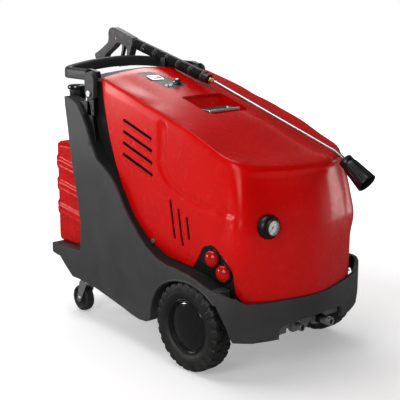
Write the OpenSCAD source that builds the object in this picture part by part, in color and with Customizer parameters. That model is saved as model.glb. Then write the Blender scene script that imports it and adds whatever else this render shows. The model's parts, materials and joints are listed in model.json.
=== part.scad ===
// Mobile hot-water pressure washer: a moulded chassis on two drive wheels and
// two swivel castors, a sloping hood over the pump set and the boiler, and a
// trigger gun with its lance resting along the hood.
// Millimetres. X is across the machine, the front faces -Y, the floor is Z = 0.

/* [Wheels] */
// Radius of a drive wheel over the tread
wheel_r = 150; // [146:1:152]
// Width of a drive wheel's tyre
tyre_w = 78; // [70:1:80]
// Distance across the outer faces of the tyres
track_w = 672; // [668:1:690]
// Radius of the drive axle
axle_r = 10; // [8:0.5:12]
// Radius of a castor wheel
castor_r = 50; // [46:1:50]
// Distance from a castor's swivel axis back to its wheel axle
castor_trail = 30; // [24:1:34]
// Distance of each castor from the centre plane
castor_x = 211; // [200:1:216]

/* [Hood] */
// Half-width of the hood at its widest
hood_half_w = 278; // [274:1:282]
// Half-width of the hood's roof between its two creases
roof_half_w = 248; // [240:1:252]
// Thickness of the hood's wall
hood_wall = 4; // [3:0.5:5]
// Height of the joint between hood and bumper
hood_foot_z = 262; // [260:1:268]

/* [Chassis] */
// Thickness of the chassis mouldings
chassis_wall = 6; // [5:0.5:8]
// Height of the underside of the bumper
bumper_z = 128; // [122:1:134]
// Gap between neighbouring mouldings
seam = 5; // [4:0.5:6]

/* [Gun and lance] */
// Distance of the gun from the centre plane
gun_x = 84; // [80:1:90]
// Tilt of the gun and its sleeve, front end down
gun_tilt = 14.3; // [14:0.1:14.6]
// Outer radius of the lance sleeve
sleeve_r = 20; // [18:0.5:20]
// Outer radius of the lance tube
lance_r = 6; // [5:0.5:7]

/* [Handle] */
// Width of the handle's bar seen from above
handle_w = 30; // [26:1:32]
// Depth of the handle's bar seen from the side
handle_h = 38; // [34:1:40]

/* [Hidden] */
$fn = 64;

// Radial clearance of a running fit
fit = 0.05;
// Face clearance between parts that turn or slide past each other
face_gap = 0.5;
// Shift that puts the middle of the whole length at Y = 0
mid_y = 68.5;

// Drive wheels
axle_y = -257;
axle_z = wheel_r;
tyre_x = (track_w - tyre_w) / 2;
rim_r = 92;
wheel_well_x = 256;

// Castors
castor_y = 437;
plate_z = 136;

// Hood sections from back to front: [y, half-width, roof height at the middle,
// half-width of the roof, fall of the crown at the crease]
hood_stations = [[296, 90, 928, 76, 20], [284, 190, 925, 176, 20],
    [262, hood_half_w - 12, 919.5, roof_half_w - 2, 20],
    [236, hood_half_w - 8, 912, roof_half_w, 20], [100, hood_half_w - 2, 871, roof_half_w, 20],
    [-49, hood_half_w, 826, roof_half_w, 12], [-180, hood_half_w, 784, roof_half_w, 12],
    [-260, hood_half_w - 1, 753, roof_half_w, 12], [-350, hood_half_w - 1, 717, 246, 12],
    [-402, hood_half_w - 2, 699, 232, 12], [-430, hood_half_w - 8, 693, 208, 12],
    [-447, hood_half_w - 20, 689, 184, 12], [-460, hood_half_w - 38, 686, 158, 12],
    [-472, hood_half_w - 62, 682, 130, 12], [-484, hood_half_w - 94, 676, 100, 12],
    [-496, hood_half_w - 130, 666, 68, 12], [-508, hood_half_w - 174, 646, 34, 12],
    [-517, hood_half_w - 214, 610, 18, 12], [-523, hood_half_w - 250, 540, 10, 12]];
belly_z = 430;
// Lower edge of the hood at its sides, from the top of the back to the front
hood_edge = [[300, 990], [290, 945], [270, 886], [256, 832], [236, 764], [213, 697],
    [184, 628], [155, 572], [116, 510], [84, 458], [28, 400], [-40, 362], [-98, 347], [-168, 341], [-237, 335], [-304, 325],
    [-368, 302], [-424, 284], [-440, hood_foot_z]];

// Roof of the hood on the centre plane, and the fall of the crown beside it
function roof_z(x, y) = lookup(y, [for (s = hood_stations) [s[0], s[2]]])
    - lookup(y, [for (s = hood_stations) [s[0], s[4]]]) * pow(x / roof_half_w, 2);
roof_slope = atan((roof_z(0, 236) - roof_z(0, 100)) / 136);

// Points of an arc about c
function arc(c, r, a0, a1, n = 12) =
    [for (i = [0:n]) let (a = a0 + (a1 - a0) * i / n) c + r * [cos(a), sin(a)]];
function mirrored(points) = [for (i = [len(points) - 1:-1:0]) [-points[i][0], points[i][1]]];
function ellipse(c, a, b, n = 40) = [for (i = [0:n - 1]) c + [a * cos(360 * i / n), b * sin(360 * i / n)]];

// Puts the machine with the middle of its length over the origin
module placed() { translate([0, -mid_y, 0]) children(); }
// Extrudes an outline drawn as [y, z] from x0 to x1
module across_x(x0, x1) { translate([x0, 0, 0]) rotate([90, 0, 90]) linear_extrude(x1 - x0) children(); }
// Extrudes an outline drawn as [x, z] from y0 to y1
module along_y(y0, y1) { translate([0, y1, 0]) rotate([90, 0, 0]) linear_extrude(y1 - y0) children(); }
module rod_x(r, x0, x1) { translate([x0, 0, 0]) rotate([0, 90, 0]) cylinder(r = r, h = x1 - x0); }
module rod_y(r, y0, y1) { translate([0, y1, 0]) rotate([90, 0, 0]) cylinder(r = r, h = y1 - y0); }
module block(low, high) { translate(low) cube(high - low); }
module both_sides() { children(); mirror([1, 0, 0]) children(); }
// Revolves an outline drawn as [radius, x] about the X axis
module turned_x() { rotate([0, 90, 0]) rotate_extrude() children(); }
// Rectangle with round corners, as true arcs
module round_rect(size, r) {
    polygon(concat(
        arc([size[0] / 2 - r, size[1] / 2 - r], r, 0, 90, 6),
        arc([-size[0] / 2 + r, size[1] / 2 - r], r, 90, 180, 6),
        arc([-size[0] / 2 + r, -size[1] / 2 + r], r, 180, 270, 6),
        arc([size[0] / 2 - r, -size[1] / 2 + r], r, 270, 360, 6)));
}

// ---------------------------------------------------------------- hood

// One cross-section of the hood, drawn as [x, z], inset all round by t
module hood_section(s, t) {
    w = s[1] - t;
    roof_w = s[3] - t;
    crease_z = s[2] - s[4] * pow(roof_w / roof_half_w, 2) - t;
    half = concat(
        [[w - 6, hood_foot_z - 40], [w, belly_z], [w - 9, 560], [roof_w + 11, crease_z - 26],
            [roof_w + 5, crease_z - 9]],
        [for (f = [0.98, 0.74, 0.5, 0.25, 0]) [roof_w * f, s[2] - t - s[4] * pow(roof_w * f / roof_half_w, 2)]]);
    polygon(concat(half, mirrored([for (i = [0:len(half) - 2]) half[i]])));
}
// Closed body of the hood's outer form, inset by t
module hood_form(t) {
    hull() {
        for (s = hood_stations) {
            y = s[0] - (s[0] > 200 ? t : s[0] < -400 ? -t : 0);
            along_y(y, y + 0.5) hood_section(s, t);
        }
    }
}
// Everything on the hood's side of the seam with the chassis
module above_seam() {
    across_x(-400, 400) polygon(concat(hood_edge, [[-560, hood_foot_z], [-560, 990]]));
}
// The recess round the flue, seen from above
flue_low = [-94, -118];
flue_high = [94, 32];
module flue_hole(t) {
    block([flue_low[0] - t, flue_low[1] - t, 600], [flue_high[0] + t, flue_high[1] + t, 990]);
}
// Outline of the control panel, seen from above
module panel_outline(t) {
    translate([0, 0, 780]) linear_extrude(220)
        polygon([[-106 - t, 254 + t], [-42 + t, 254 + t], [12 + t, 110 - t], [-82 - t, 104 - t]]);
}
// Outline of the knob panel, grown by t and extruded across the hood's left side
module knob_prism(t) {
    across_x(-330, -180) polygon([[-318, 426 + t], [-297, 421 + t], [-279 + t, 408], [-222 + t, 316],
        [-230, 306 - t], [-424, 250 - t], [-421 - t, 273], [-414 - t, 318], [-409 - t, 352],
        [-392 - t, 376], [-362 - t, 404 + t], [-338 - t, 421 + t]]);
}
gauge_c = [-184, -484, 500];
gauge_r = 38;
module gauge_hole(r) { translate([gauge_c[0], 0, gauge_c[2]]) rod_y(r, -540, -430); }

vent_rake = 18;
// Four sloping louvre openings on one side of the hood
module louvres() {
    for (i = [0:3]) translate([0, 141, 775 - 39 * i]) rotate([vent_rake, 0, 0])
        block([-300, -161 - 3.5 * i, -6], [-200, 0, 6]);
}
// Three near-upright slots: [y, z, length]
slots = [[-115, 539, 128], [-156, 516, 122], [-198, 497, 75]];
module upright_slots() {
    for (s = slots) translate([0, s[0], s[1]]) rotate([-14, 0, 0])
        block([-300, -5, -s[2]], [-200, 0, 0]);
}
screw_at = [-38, 386];

module hood() {
    placed() color("red") difference() {
        intersection() {
            difference() {
                hood_form(0);
                hood_form(hood_wall);
            }
            above_seam();
        }
        flue_hole(0);
        panel_outline(1);
        knob_prism(1);
        gauge_hole(gauge_r + 1);
        both_sides() louvres();
        both_sides() upright_slots();
        translate([0, screw_at[0], screw_at[1]]) rod_x(4.5, -300, 300);
        // Notch for the lance holder in the rear edge
        block([gun_x - 29, 288, 890], [gun_x + 29, 300, 990]);
    }
}
module hood_screws() {
    placed() color("silver") both_sides() translate([0, screw_at[0], screw_at[1]]) {
        rod_x(4, -284, -250);
        rod_x(8, -284, -280);
    }
}
// Sloping tray under the opening in the roof, with the flue passing through it
tray_floor = [[42, 846], [34, 840], [-20, 784], [-126, 762]];
collar_low = [-68, -88];
collar_high = [68, -28];
module flue_tray() {
    placed() color("darkred") difference() {
        intersection() {
            flue_hole(4);
            hood_form(hood_wall + 0.5);
            across_x(-200, 200) polygon(concat([for (p = tray_floor) p - [0, 4]],
                [[-126, 900], [42, 900]]));
        }
        intersection() {
            flue_hole(-0.5);
            across_x(-200, 200) polygon(concat(tray_floor, [[-126, 900], [42, 900]]));
        }
        block([collar_low[0] - 0.5, collar_low[1] - 0.5, 700], [collar_high[0] + 0.5, collar_high[1] + 0.5, 900]);
    }
}
module flue_collar() {
    placed() color("lightgray") difference() {
        block(concat(collar_low, [640]), concat(collar_high, [812]));
        block(concat(collar_low + [4, 4], [630]), concat(collar_high - [4, 4], [820]));
    }
}

// Stands a child on the roof, its Z axis square to the slope
module on_roof(x, y, lift = 0) {
    translate([x, y, roof_z(x, y)]) rotate([roof_slope, 0, 0]) translate([0, 0, lift]) children();
}
switch_at = [-20, 134];
start_at = [-50, 129];
stop_at = [-70, 127];
display_at = [-66, 200];
module control_panel() {
    placed() color("dimgray") difference() {
        union() {
            intersection() {
                hood_form(0.5);
                panel_outline(0);
            }
            intersection() {
                hood_form(hood_wall + 0.2);
                panel_outline(8);
            }
        }
        hood_form(hood_wall + 4);
        on_roof(display_at[0], display_at[1]) block([-24.2, -17.2, -2.5], [24.2, 17.2, 20]);
        on_roof(switch_at[0], switch_at[1], -30) cylinder(r = 4 + fit, h = 60);
        on_roof(start_at[0], start_at[1], -30) cylinder(r = 6 + fit, h = 60);
        on_roof(stop_at[0], stop_at[1], -30) cylinder(r = 6 + fit, h = 60);
    }
}
module display_window() {
    placed() color("lightgreen") on_roof(display_at[0], display_at[1]) block([-24, -17, -2.3], [24, 17, 0.2]);
}
module main_switch() {
    placed() color("black") on_roof(switch_at[0], switch_at[1]) {
        translate([0, 0, -14]) cylinder(r = 4, h = 16);
        translate([0, 0, 1]) cylinder(r = 16, h = 4);
        translate([0, 0, 5]) cylinder(r = 11, h = 11);
        block([-2, 9, 5], [2, 15, 16]);
    }
}
module push_button(at) {
    placed() on_roof(at[0], at[1]) {
        translate([0, 0, -14]) cylinder(r = 6, h = 18);
        translate([0, 0, -14]) cylinder(r = 7.5, h = 3);
    }
}
module start_button() { color("green") push_button(start_at); }
module stop_button() { color("red") push_button(stop_at); }

// Two dosing knobs: [x, y, z] where each axis meets the panel
knob_turn = 3;
detergent_at = [-277, -327, 385];
pressure_at = [-276, -377, 347];
knob_r = 27;
module knob_axis(at) { translate(at) rotate([0, 0, knob_turn]) rotate([0, -90, 0]) children(); }
module knob_panel() {
    placed() color("black") difference() {
        intersection() {
            union() {
                intersection() {
                    hood_form(1);
                    knob_prism(0);
                }
                intersection() {
                    hood_form(hood_wall + 0.2);
                    knob_prism(8);
                }
            }
            above_seam();
        }
        hood_form(hood_wall + 5);
        for (at = [detergent_at, pressure_at]) knob_axis(at) translate([0, 0, -40])
            cylinder(r = 5 + fit, h = 60);
    }
}
module dosing_knob(at) {
    placed() color("crimson") knob_axis(at) {
        translate([0, 0, -18]) cylinder(r = 5, h = 20);
        rotate_extrude() polygon(concat([[0, 1], [knob_r, 1], [knob_r, 9]],
            arc([0, -12], 36, 36, 90, 8)));
    }
}
module detergent_knob() { dosing_knob(detergent_at); }
module pressure_knob() { dosing_knob(pressure_at); }

// ---------------------------------------------------------------- gauge

module at_gauge() { translate(gauge_c) children(); }
module gauge_case() {
    placed() color("black") at_gauge() difference() {
        union() {
            difference() {
                rod_y(gauge_r, 12, 52);
                rod_y(gauge_r - 4, 0, 47);
            }
            rod_y(26, -18, 50);
        }
        rod_y(24, -30, -8);
        rod_y(1.5 + fit, -10, 20);
    }
}
module gauge_dial() {
    placed() color("white") at_gauge() difference() {
        rod_y(23.8, -10, -8);
        rod_y(4, -16, -6);
    }
}
module gauge_needle() {
    placed() color("black") at_gauge() {
        rod_y(1.5, -12, 4);
        rod_y(3, -13.5, -11);
        rotate([0, -135, 0]) block([-1, -13, -6], [1, -11.8, 18]);
    }
}
module gauge_lens() {
    placed() color("lightblue") at_gauge() rod_y(23.9, -18, -16.5);
}

// ---------------------------------------------------------------- chassis

// Half of the chassis seen from above, widest over the drive wheels: [half-width, y]
chassis_plan = [[0, -526], [75, -517], [140, -502], [196, -486], [244, -471], [285, -456], [312, -440],
    [326, -420], [332, -400], [333, -370], [333, -150], [327, -90], [312, 5], [300, 150], [290, 300], [284, 460], [280, 560], [272, 575]];
panel_in = 252;
arch_a = 187;
arch_b = 156;
seam_line = [for (i = [len(hood_edge) - 2:-1:2]) hood_edge[i] + [seam, -seam]];
panel_bottom = [[-400, 200], [-75, 124], [-40, 110], [5, 104], [100, 118], [312, 152], [437, 158],
    [516, 218], [575, 224], [575, 259], [381, 261]];
panel_back = [[369, 378], [410, 566]];

// Solid that a side moulding is hollowed from, shifted by d
module panel_solid(x0, x1, outline) {
    intersection() {
        across_x(x0, x1) polygon(outline);
        linear_extrude(1000) polygon(concat([[0, -400]],
            [for (p = chassis_plan) if (p[1] >= -400) [-p[0], p[1]]], [[0, 575]]));
    }
}
module panel_outer() {
    panel_solid(-340, -262, concat(panel_bottom, panel_back,
        [[468, 828], [388, 808], [329, 731], [259, 622], [185, 578]],
        [for (p = [len(seam_line) - 1:-1:0]) if (seam_line[p][1] < 575) seam_line[p]]));
}
module panel_inner() {
    panel_solid(-262, -panel_in, concat(panel_bottom, panel_back, [[440, 800], [322, 800], [296, 868]],
        [for (p = [len(seam_line) - 1:-1:0]) if (seam_line[p][1] < 850) seam_line[p]]));
}
module side_panel() {
    w = chassis_wall;
    difference() {
        union() {
            panel_outer();
            panel_inner();
            // Bracket that holds the end of the handle
            block([-268, 295, 780], [-panel_in, 350, 926]);
        }
        // Hollow on the inside, open towards the machine
        intersection() {
            translate([w, w, w]) panel_outer();
            translate([w, -w, -w]) panel_outer();
            translate([w, w, -w]) panel_outer();
            translate([w, -w, w]) panel_outer();
        }
        across_x(-340, -wheel_well_x) polygon(ellipse([axle_y, axle_z], arch_a, arch_b));
        translate([0, axle_y, axle_z]) rod_x(17, -300, -200);
        translate([0, 323, 849]) rod_x(6.2, -300, -200);
    }
}
module side_panel_left() { placed() color([0.22, 0.22, 0.22]) side_panel(); }
module side_panel_right() { placed() color([0.22, 0.22, 0.22]) mirror([1, 0, 0]) side_panel(); }

// Moulding across the front, with a low recess for the two water fittings
bumper_face = [[-340, 296], [-290, 286], [-262, 259], [0, 257], [262, 259], [290, 286], [340, 296],
    [340, 160], [300, bumper_z + 8], [240, bumper_z], [-240, bumper_z], [-300, bumper_z + 8], [-340, 160]];
recess_face = [[-150, 0], [-150, 160], [-138, 172], [-50, 184], [45, 186], [140, 176], [162, 170],
    [170, 156], [170, 0]];
module bumper() {
    t = chassis_wall + 1;
    front = [for (p = chassis_plan) if (p[1] <= -400) p];
    inside = [for (p = front) [p[0] * (1 - t / 332), min(p[1] + t, -399)]];
    placed() color([0.2, 0.2, 0.2]) difference() {
        intersection() {
            linear_extrude(400) difference() {
                polygon(concat(front, mirrored(front)));
                polygon(concat(inside, mirrored(inside)));
            }
            along_y(-540, -400) polygon(bumper_face);
        }
        along_y(-540, -380) polygon(recess_face);
        both_sides() across_x(-340, -wheel_well_x) polygon(ellipse([axle_y, axle_z], arch_a, arch_b));
    }
}
module rear_shelf() {
    placed() color([0.2, 0.2, 0.2]) {
        block([-251.5, 350, 251], [251.5, 572, 259]);
        difference() {
            block([-251.5, 565, 222], [251.5, 572, 252]);
            translate([150, 0, 236]) rod_y(12, 500, 600);
        }
        block([-251.5, 350, 168], [251.5, 356, 252]);
    }
}
module rear_wall() {
    placed() color([0.2, 0.2, 0.2]) block([-238, 340, 168], [238, 346, 893]);
}
module top_cross() {
    placed() color([0.2, 0.2, 0.2]) difference() {
        intersection() {
            linear_extrude(1000) polygon([[-250, 272], [-190, 290], [-90, 302], [90, 302],
                [190, 290], [250, 272], [250, 294], [238, 294], [238, 346], [-238, 346], [-238, 294], [-250, 294]]);
            along_y(200, 400) polygon([[-250, 893], [-250, 903], [-180, 914], [-90, 921], [0, 924],
                [90, 921], [180, 914], [250, 903], [250, 893]]);
        }
        block([gun_x - 29, 290, 911], [gun_x + 29, 318, 990]);
    }
}

// Steel tray that carries the machinery, the axle and the castors
module base_frame() {
    placed() color("gray") {
        block([-248, -400, 164], [248, 470, 168]);
        both_sides() {
            block([-248, -400, 168], [-245, 340, 196]);
            difference() {
                block([-225, axle_y - 25, axle_z - 20], [-200, axle_y + 25, 165]);
                translate([0, axle_y, axle_z]) rod_x(axle_r, -300, -100);
            }
        }
        block([-248, 380, 140], [248, 478, 165]);
        // Plate for the two water fittings, with a lobe round each
        difference() {
            union() {
                block([-145, plate_y, 164], [165, -399, 168]);
                block([-145, plate_y, 144], [165, plate_y + 6, 168]);
                block([-145, plate_y, 130], [-88, plate_y + 6, 146]);
                for (f = [inlet_at, outlet_at]) translate([f[0], 0, f[1]]) rod_y(25, plate_y, plate_y + 6);
                translate([3, 0, 146]) rod_y(20, plate_y, plate_y + 6);
            }
            for (f = [inlet_at, outlet_at]) translate([f[0], 0, f[1]]) {
                rod_y(stud_r + 0.4, -600, -400);
                rod_y(stud_r + 5.5, plate_y + 6, plate_y + 45);
            }
        }
    }
}
plate_y = -472;
stud_r = 14.6;
inlet_at = [-50, 149];
outlet_at = [56, 151];
module fitting(at, tip_y, r, bore) {
    placed() translate([at[0], 0, at[1]]) difference() {
        union() {
            rod_y(r, tip_y, plate_y);
            rod_y(stud_r, plate_y - 1, plate_y + 40);
            rod_y(20, plate_y - 10, plate_y);
            rod_y(18, plate_y + 6, plate_y + 14);
        }
        rod_y(bore, tip_y - 10, plate_y + 30);
    }
}
module water_inlet() { color("silver") fitting(inlet_at, -510, 13.2, 9); }
module pressure_outlet() { color("silver") fitting(outlet_at, -540, 15, 7.5); }
module cable_gland() {
    placed() color("black") translate([150, 0, 236]) difference() {
        union() {
            rod_y(12, 558, 574);
            rod_y(17, 572, 584);
            rod_y(13, 584, 592);
        }
        rod_y(6, 550, 600);
    }
}

// ---------------------------------------------------------------- handle

// Height of the top of the handle's bar, arched over its width
function bar_top(x) = 958 - 29 * pow(x / 264, 2);
module push_handle() {
    outer = concat([[-266, 352]], arc([-230, 466], 36, 180, 90, 8), [[-100, 502], [0, 502.5]]);
    inner = concat([[-266 + handle_w, 352]], arc([-214, 450], 22, 180, 90, 6), [[-100, 472], [0, 472]]);
    xs = [for (i = [-6:6]) i * 44];
    placed() color([0.25, 0.25, 0.25]) {
        intersection() {
            linear_extrude(1000) difference() {
                polygon(concat(outer, mirrored(outer)));
                polygon(concat(inner, mirrored(inner)));
            }
            along_y(340, 520) polygon(concat([for (x = xs) [x, bar_top(x)]],
                [for (i = [len(xs) - 1:-1:0]) [xs[i], bar_top(xs[i]) - handle_h]]));
        }
        both_sides() difference() {
            block([-251.5, 305, 832], [-240, 353, 926]);
            translate([0, 323, 849]) rod_x(6.2, -300, -200);
        }
    }
}
module handle_bolts() {
    placed() color("silver") both_sides() translate([0, 323, 849]) {
        rod_x(6, -270, -236);
        rod_x(11, -274, -268);
        rod_x(10, -240, -234);
    }
}

// ---------------------------------------------------------------- tank

neck_at = [-206, 478];
tank_size = [486, 228];
tank_y = 476;
tank_low = 262;
tank_top = 645;
module tank_level(z0, z1, grow) {
    translate([0, tank_y, z0]) linear_extrude(z1 - z0) round_rect(tank_size + 2 * [grow, grow], 44);
}
module rear_tank() {
    placed() color("red") difference() {
        union() {
            tank_level(tank_low, tank_top, 0);
            for (z = [380, 469, 555]) tank_level(z - 15, z + 15, 6);
        }
        tank_level(tank_low + 5, tank_top - 5, -5);
        translate([neck_at[0], neck_at[1], 600]) cylinder(r = 22, h = 100);
    }
}
module filler_neck() {
    placed() color("black") difference() {
        union() {
            translate([neck_at[0], neck_at[1], 638]) cylinder(r = 22, h = 192);
            translate([neck_at[0], neck_at[1], tank_top]) cylinder(r = 30, h = 6);
        }
        translate([neck_at[0], neck_at[1], 630]) cylinder(r = 19, h = 230);
    }
}
module fuel_cap() {
    placed() color("black") translate([neck_at[0], neck_at[1], 0]) difference() {
        union() {
            translate([0, 0, 806]) cylinder(r = 30, h = 46);
            translate([0, 0, 850]) cylinder(r = 36, h = 14);
        }
        translate([0, 0, 800]) cylinder(r = 22.5, h = 34);
    }
}

// ---------------------------------------------------------------- wheels

module drive_axle() {
    placed() color("silver") translate([0, axle_y, axle_z]) {
        rod_x(axle_r, -327, 327);
        both_sides() {
            rod_x(15, -261, -257);
            rod_x(14, -326, -323);
        }
    }
}
// Places a wheel part, outer face towards -X on the left and +X on the right
module on_axle(side) {
    placed() translate([side * tyre_x, axle_y, axle_z]) scale([side, 1, 1]) children();
}
module tyre() {
    s = tyre_w / 2;
    turned_x() polygon([[rim_r, -s + 9], [104, -s + 2], [126, -s], [wheel_r - 6, -s + 5],
        [wheel_r, -s + 15], [wheel_r, s - 15], [wheel_r - 6, s - 5], [126, s], [104, s - 2], [rim_r, s - 9]]);
}
module rim() {
    turned_x() union() {
        translate([axle_r + fit, -35]) square([16, 60]);
        translate([25, 2]) square([61, 6]);
        translate([84, -30]) square([rim_r - 84, 60]);
    }
}
module hub_cap() {
    r = 210;
    turned_x() polygon(concat([[83.9, 22], [83.9, 26], [78, 26]],
        arc([0, tyre_w / 2 - r], r, 68.5, 90, 10), arc([0, tyre_w / 2 - r], r - 3, 90, 69.5, 10), [[73, 22]]));
}
module tyre_left() { color([0.13, 0.13, 0.13]) on_axle(-1) tyre(); }
module rim_left() { color([0.3, 0.3, 0.3]) on_axle(-1) rim(); }
module hub_cap_left() { color("black") on_axle(-1) hub_cap(); }
module tyre_right() { color([0.13, 0.13, 0.13]) on_axle(1) tyre(); }
module rim_right() { color([0.3, 0.3, 0.3]) on_axle(1) rim(); }
module hub_cap_right() { color("black") on_axle(1) hub_cap(); }

module castor_plates() {
    placed() color("silver") both_sides() translate([-castor_x, castor_y, 0]) {
        block([-36, -50, plate_z], [36, 50, 140]);
        translate([0, 0, plate_z - 8]) cylinder(r = 28, h = 8);
        translate([0, 0, 110]) cylinder(r = 6, h = 20);
        translate([0, 0, 109]) cylinder(r = 10, h = 4.5);
    }
}
module castor_fork(side) {
    placed() color("silver") translate([side * castor_x, castor_y, 0]) {
        difference() {
            union() {
                translate([0, 0, 114]) cylinder(r = 26, h = plate_z - 8 - face_gap - 114);
                block([-22.5, -20, 114], [22.5, 24, 122]);
            }
            cylinder(r = 6 + fit, h = 200);
        }
        both_sides() across_x(19.5, 22.5) {
            polygon([[-20, 122], [24, 122], [castor_trail + 12, 54], [castor_trail - 12, 46]]);
            translate([castor_trail, castor_r]) circle(r = 13);
        }
        translate([0, castor_trail, castor_r]) {
            rod_x(5, -24, 24);
            rod_x(8, 22, 27);
            rod_x(8, -27, -22);
        }
    }
}
module castor_fork_left() { castor_fork(-1); }
module castor_fork_right() { castor_fork(1); }
module castor_wheel(side) {
    placed() color([0.15, 0.15, 0.15]) translate([side * castor_x, castor_y + castor_trail, castor_r])
        turned_x() polygon([[5 + fit, -17], [14, -17], [14, -11], [36, -11], [36, -16], [castor_r - 4, -16],
            [castor_r, -11], [castor_r, 11], [castor_r - 4, 16], [36, 16], [36, 11], [14, 11], [14, 17], [5 + fit, 17]]);
}
module castor_wheel_left() { castor_wheel(-1); }
module castor_wheel_right() { castor_wheel(1); }

// ---------------------------------------------------------------- gun and lance

// Local frame of the gun: origin where the sleeve meets it, +Y back along the sleeve
gun_origin = [gun_x, 499, 1000.5];
sleeve_len = 433;
nut_len = 36;
elbow_r = lance_r + 0.6;
function gun_point(y) = gun_origin + [0, y * cos(gun_tilt), y * sin(gun_tilt)];
nut_end = gun_point(-sleeve_len - nut_len);
bend_at = [148, -474, 689];
lance_end = [158, -600, 594];
module in_gun() { placed() translate(gun_origin) rotate([gun_tilt, 0, 0]) children(); }
// Turns a child's Z axis to run from p to q
module along(p, q) {
    d = q - p;
    translate(p) rotate([0, acos(d[2] / norm(d)), atan2(d[1], d[0])]) children();
}
module gun_body() {
    in_gun() color([0.2, 0.2, 0.2]) difference() {
        across_x(-15, 15) difference() {
            polygon([[0, -19], [0, 19], [60, 23], [132, 25], [152, 14], [156, -2], [146, -26], [148, -42],
                [200, -94], [224, -112], [206, -130], [140, -122], [70, -116], [30, -100], [6, -62]]);
            polygon([[36, -22], [92, -24], [104, -44], [150, -92], [158, -104], [140, -112], [74, -106],
                [42, -92], [22, -58], [24, -30]]);
        }
        // Slot for the trigger, and its pin
        block([-8, 44, -60], [8, 80, -6]);
        translate([0, trigger_pin[0], trigger_pin[1]]) rod_x(3 + fit, -40, 40);
        translate([0, catch_pin[0], catch_pin[1]]) rod_x(4 + fit, -40, 40);
    }
}
trigger_pin = [62, -15];
catch_pin = [100, -10];
module gun_trigger() {
    in_gun() color("black") {
        across_x(-7.4, 7.4) polygon([[55, -22], [56, -9], [68, -9], [72, -22], [66, -50], [70, -74], [80, -92],
            [72, -96], [60, -78], [56, -50]]);
        translate([0, trigger_pin[0], trigger_pin[1]]) rod_x(3, -14.5, 14.5);
    }
}
module safety_catch() {
    in_gun() color("red") translate([0, catch_pin[0], catch_pin[1]]) rod_x(4, -16.5, 19.5);
}
module lance_sleeve() {
    in_gun() color([0.12, 0.12, 0.12]) difference() {
        union() {
            rod_y(sleeve_r - 2.5, -sleeve_len, 0);
            for (i = [0:5]) rod_y(sleeve_r, -68 * (i + 1) + 8, -68 * i);
        }
        rod_y(lance_r + fit, -sleeve_len - 1, 1);
    }
}
module lance_nut() {
    in_gun() color("gold") difference() {
        union() {
            rod_y(10, -sleeve_len - 12, -sleeve_len);
            translate([0, -sleeve_len - 12, 0]) rotate([90, 0, 0]) cylinder(r = 11, h = 16, $fn = 6);
        }
        rod_y(lance_r + fit, -sleeve_len - 40, -sleeve_len + 1);
    }
}
module lance_tube() {
    in_gun() color("silver") rod_y(lance_r, -sleeve_len - nut_len, 0);
    placed() color("silver") {
        along(nut_end, bend_at) cylinder(r = lance_r, h = norm(bend_at - nut_end));
        translate(nut_end) sphere(r = elbow_r);
        translate(bend_at) sphere(r = elbow_r);
        along(bend_at, lance_end) cylinder(r = lance_r, h = tip_start);
    }
}
guard_start = 28;
guard_len = 112;
tip_start = 62;
module nozzle_guard() {
    placed() color("black") along(bend_at, lance_end) translate([0, 0, guard_start]) rotate_extrude()
        polygon([[lance_r + fit, 0], [22, 0], [24, 4], [24, 20], [26, 28], [35, guard_len], [30, guard_len],
            [19, 36], [12, 30], [lance_r + fit, 30]]);
}
module nozzle_tip() {
    placed() color("gold") along(bend_at, lance_end) translate([0, 0, tip_start]) difference() {
        cylinder(r = 8, h = 22);
        translate([0, 0, 12]) cylinder(r = 2, h = 20);
    }
}
module lance_holder() {
    clear = sleeve_r + 1;
    placed() color("black") difference() {
        block([gun_x - 27, 292, 911], [gun_x + 27, 316, 958]);
        translate(gun_origin) rotate([gun_tilt, 0, 0]) rod_y(clear, -300, 0);
        block([gun_x - clear, 280, 948], [gun_x + clear, 330, 990]);
    }
}

// ---------------------------------------------------------------- machinery

motor_y = -325;
motor_z = 300;
shaft_r = 10;
module at_motor() { placed() translate([0, motor_y, motor_z]) children(); }
module motor_case() {
    at_motor() color("steelblue") {
        difference() {
            rod_x(78, 15, 215);
            rod_x(70, 23, 207);
            rod_x(shaft_r + fit, 0, 300);
        }
        difference() {
            block([40, -60, 168 - motor_z], [190, 60, -40]);
            rod_x(74, 0, 300);
        }
    }
}
module motor_rotor() {
    at_motor() color("silver") {
        rod_x(shaft_r, -8, 212);
        rod_x(52, 40, 160);
        rod_x(24, 176, 196);
        for (a = [0:45:315]) rotate([a, 0, 0]) block([178, -2, 20], [194, 2, 64]);
    }
}
module pump_block() {
    at_motor() color("tan") difference() {
        union() {
            rod_x(62, -44, 14);
            block([-180, -52, -50], [-44, 52, 50]);
            block([-160, -45, 168 - motor_z], [-10, 45, -48]);
        }
        rod_x(shaft_r + 2, -12, 20);
    }
}
boiler_at = [0, -58];
module at_boiler() { placed() translate([boiler_at[0], boiler_at[1], 0]) children(); }
burner_y = 92;
module boiler_shell() {
    at_boiler() color("lightgray") difference() {
        translate([0, 0, 168]) cylinder(r = 150, h = 472);
        translate([0, 0, 176]) cylinder(r = 145, h = 458);
        block([collar_low[0] + 4, collar_low[1] - boiler_at[1] + 4, 600],
            [collar_high[0] - 4, collar_high[1] - boiler_at[1] - 4, 700]);
        translate([0, burner_y, 600]) cylinder(r = 40, h = 100);
    }
}
module heating_coil() {
    at_boiler() color("peru") {
        for (i = [0:11]) translate([0, 0, 210 + 28 * i]) rotate_extrude() translate([120, 0]) circle(r = 9);
        translate([120, 0, 210]) cylinder(r = 7, h = 308);
    }
}
blower_at = [200, 600];
module at_blower() { placed() translate([0, blower_at[0], blower_at[1]]) children(); }
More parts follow.
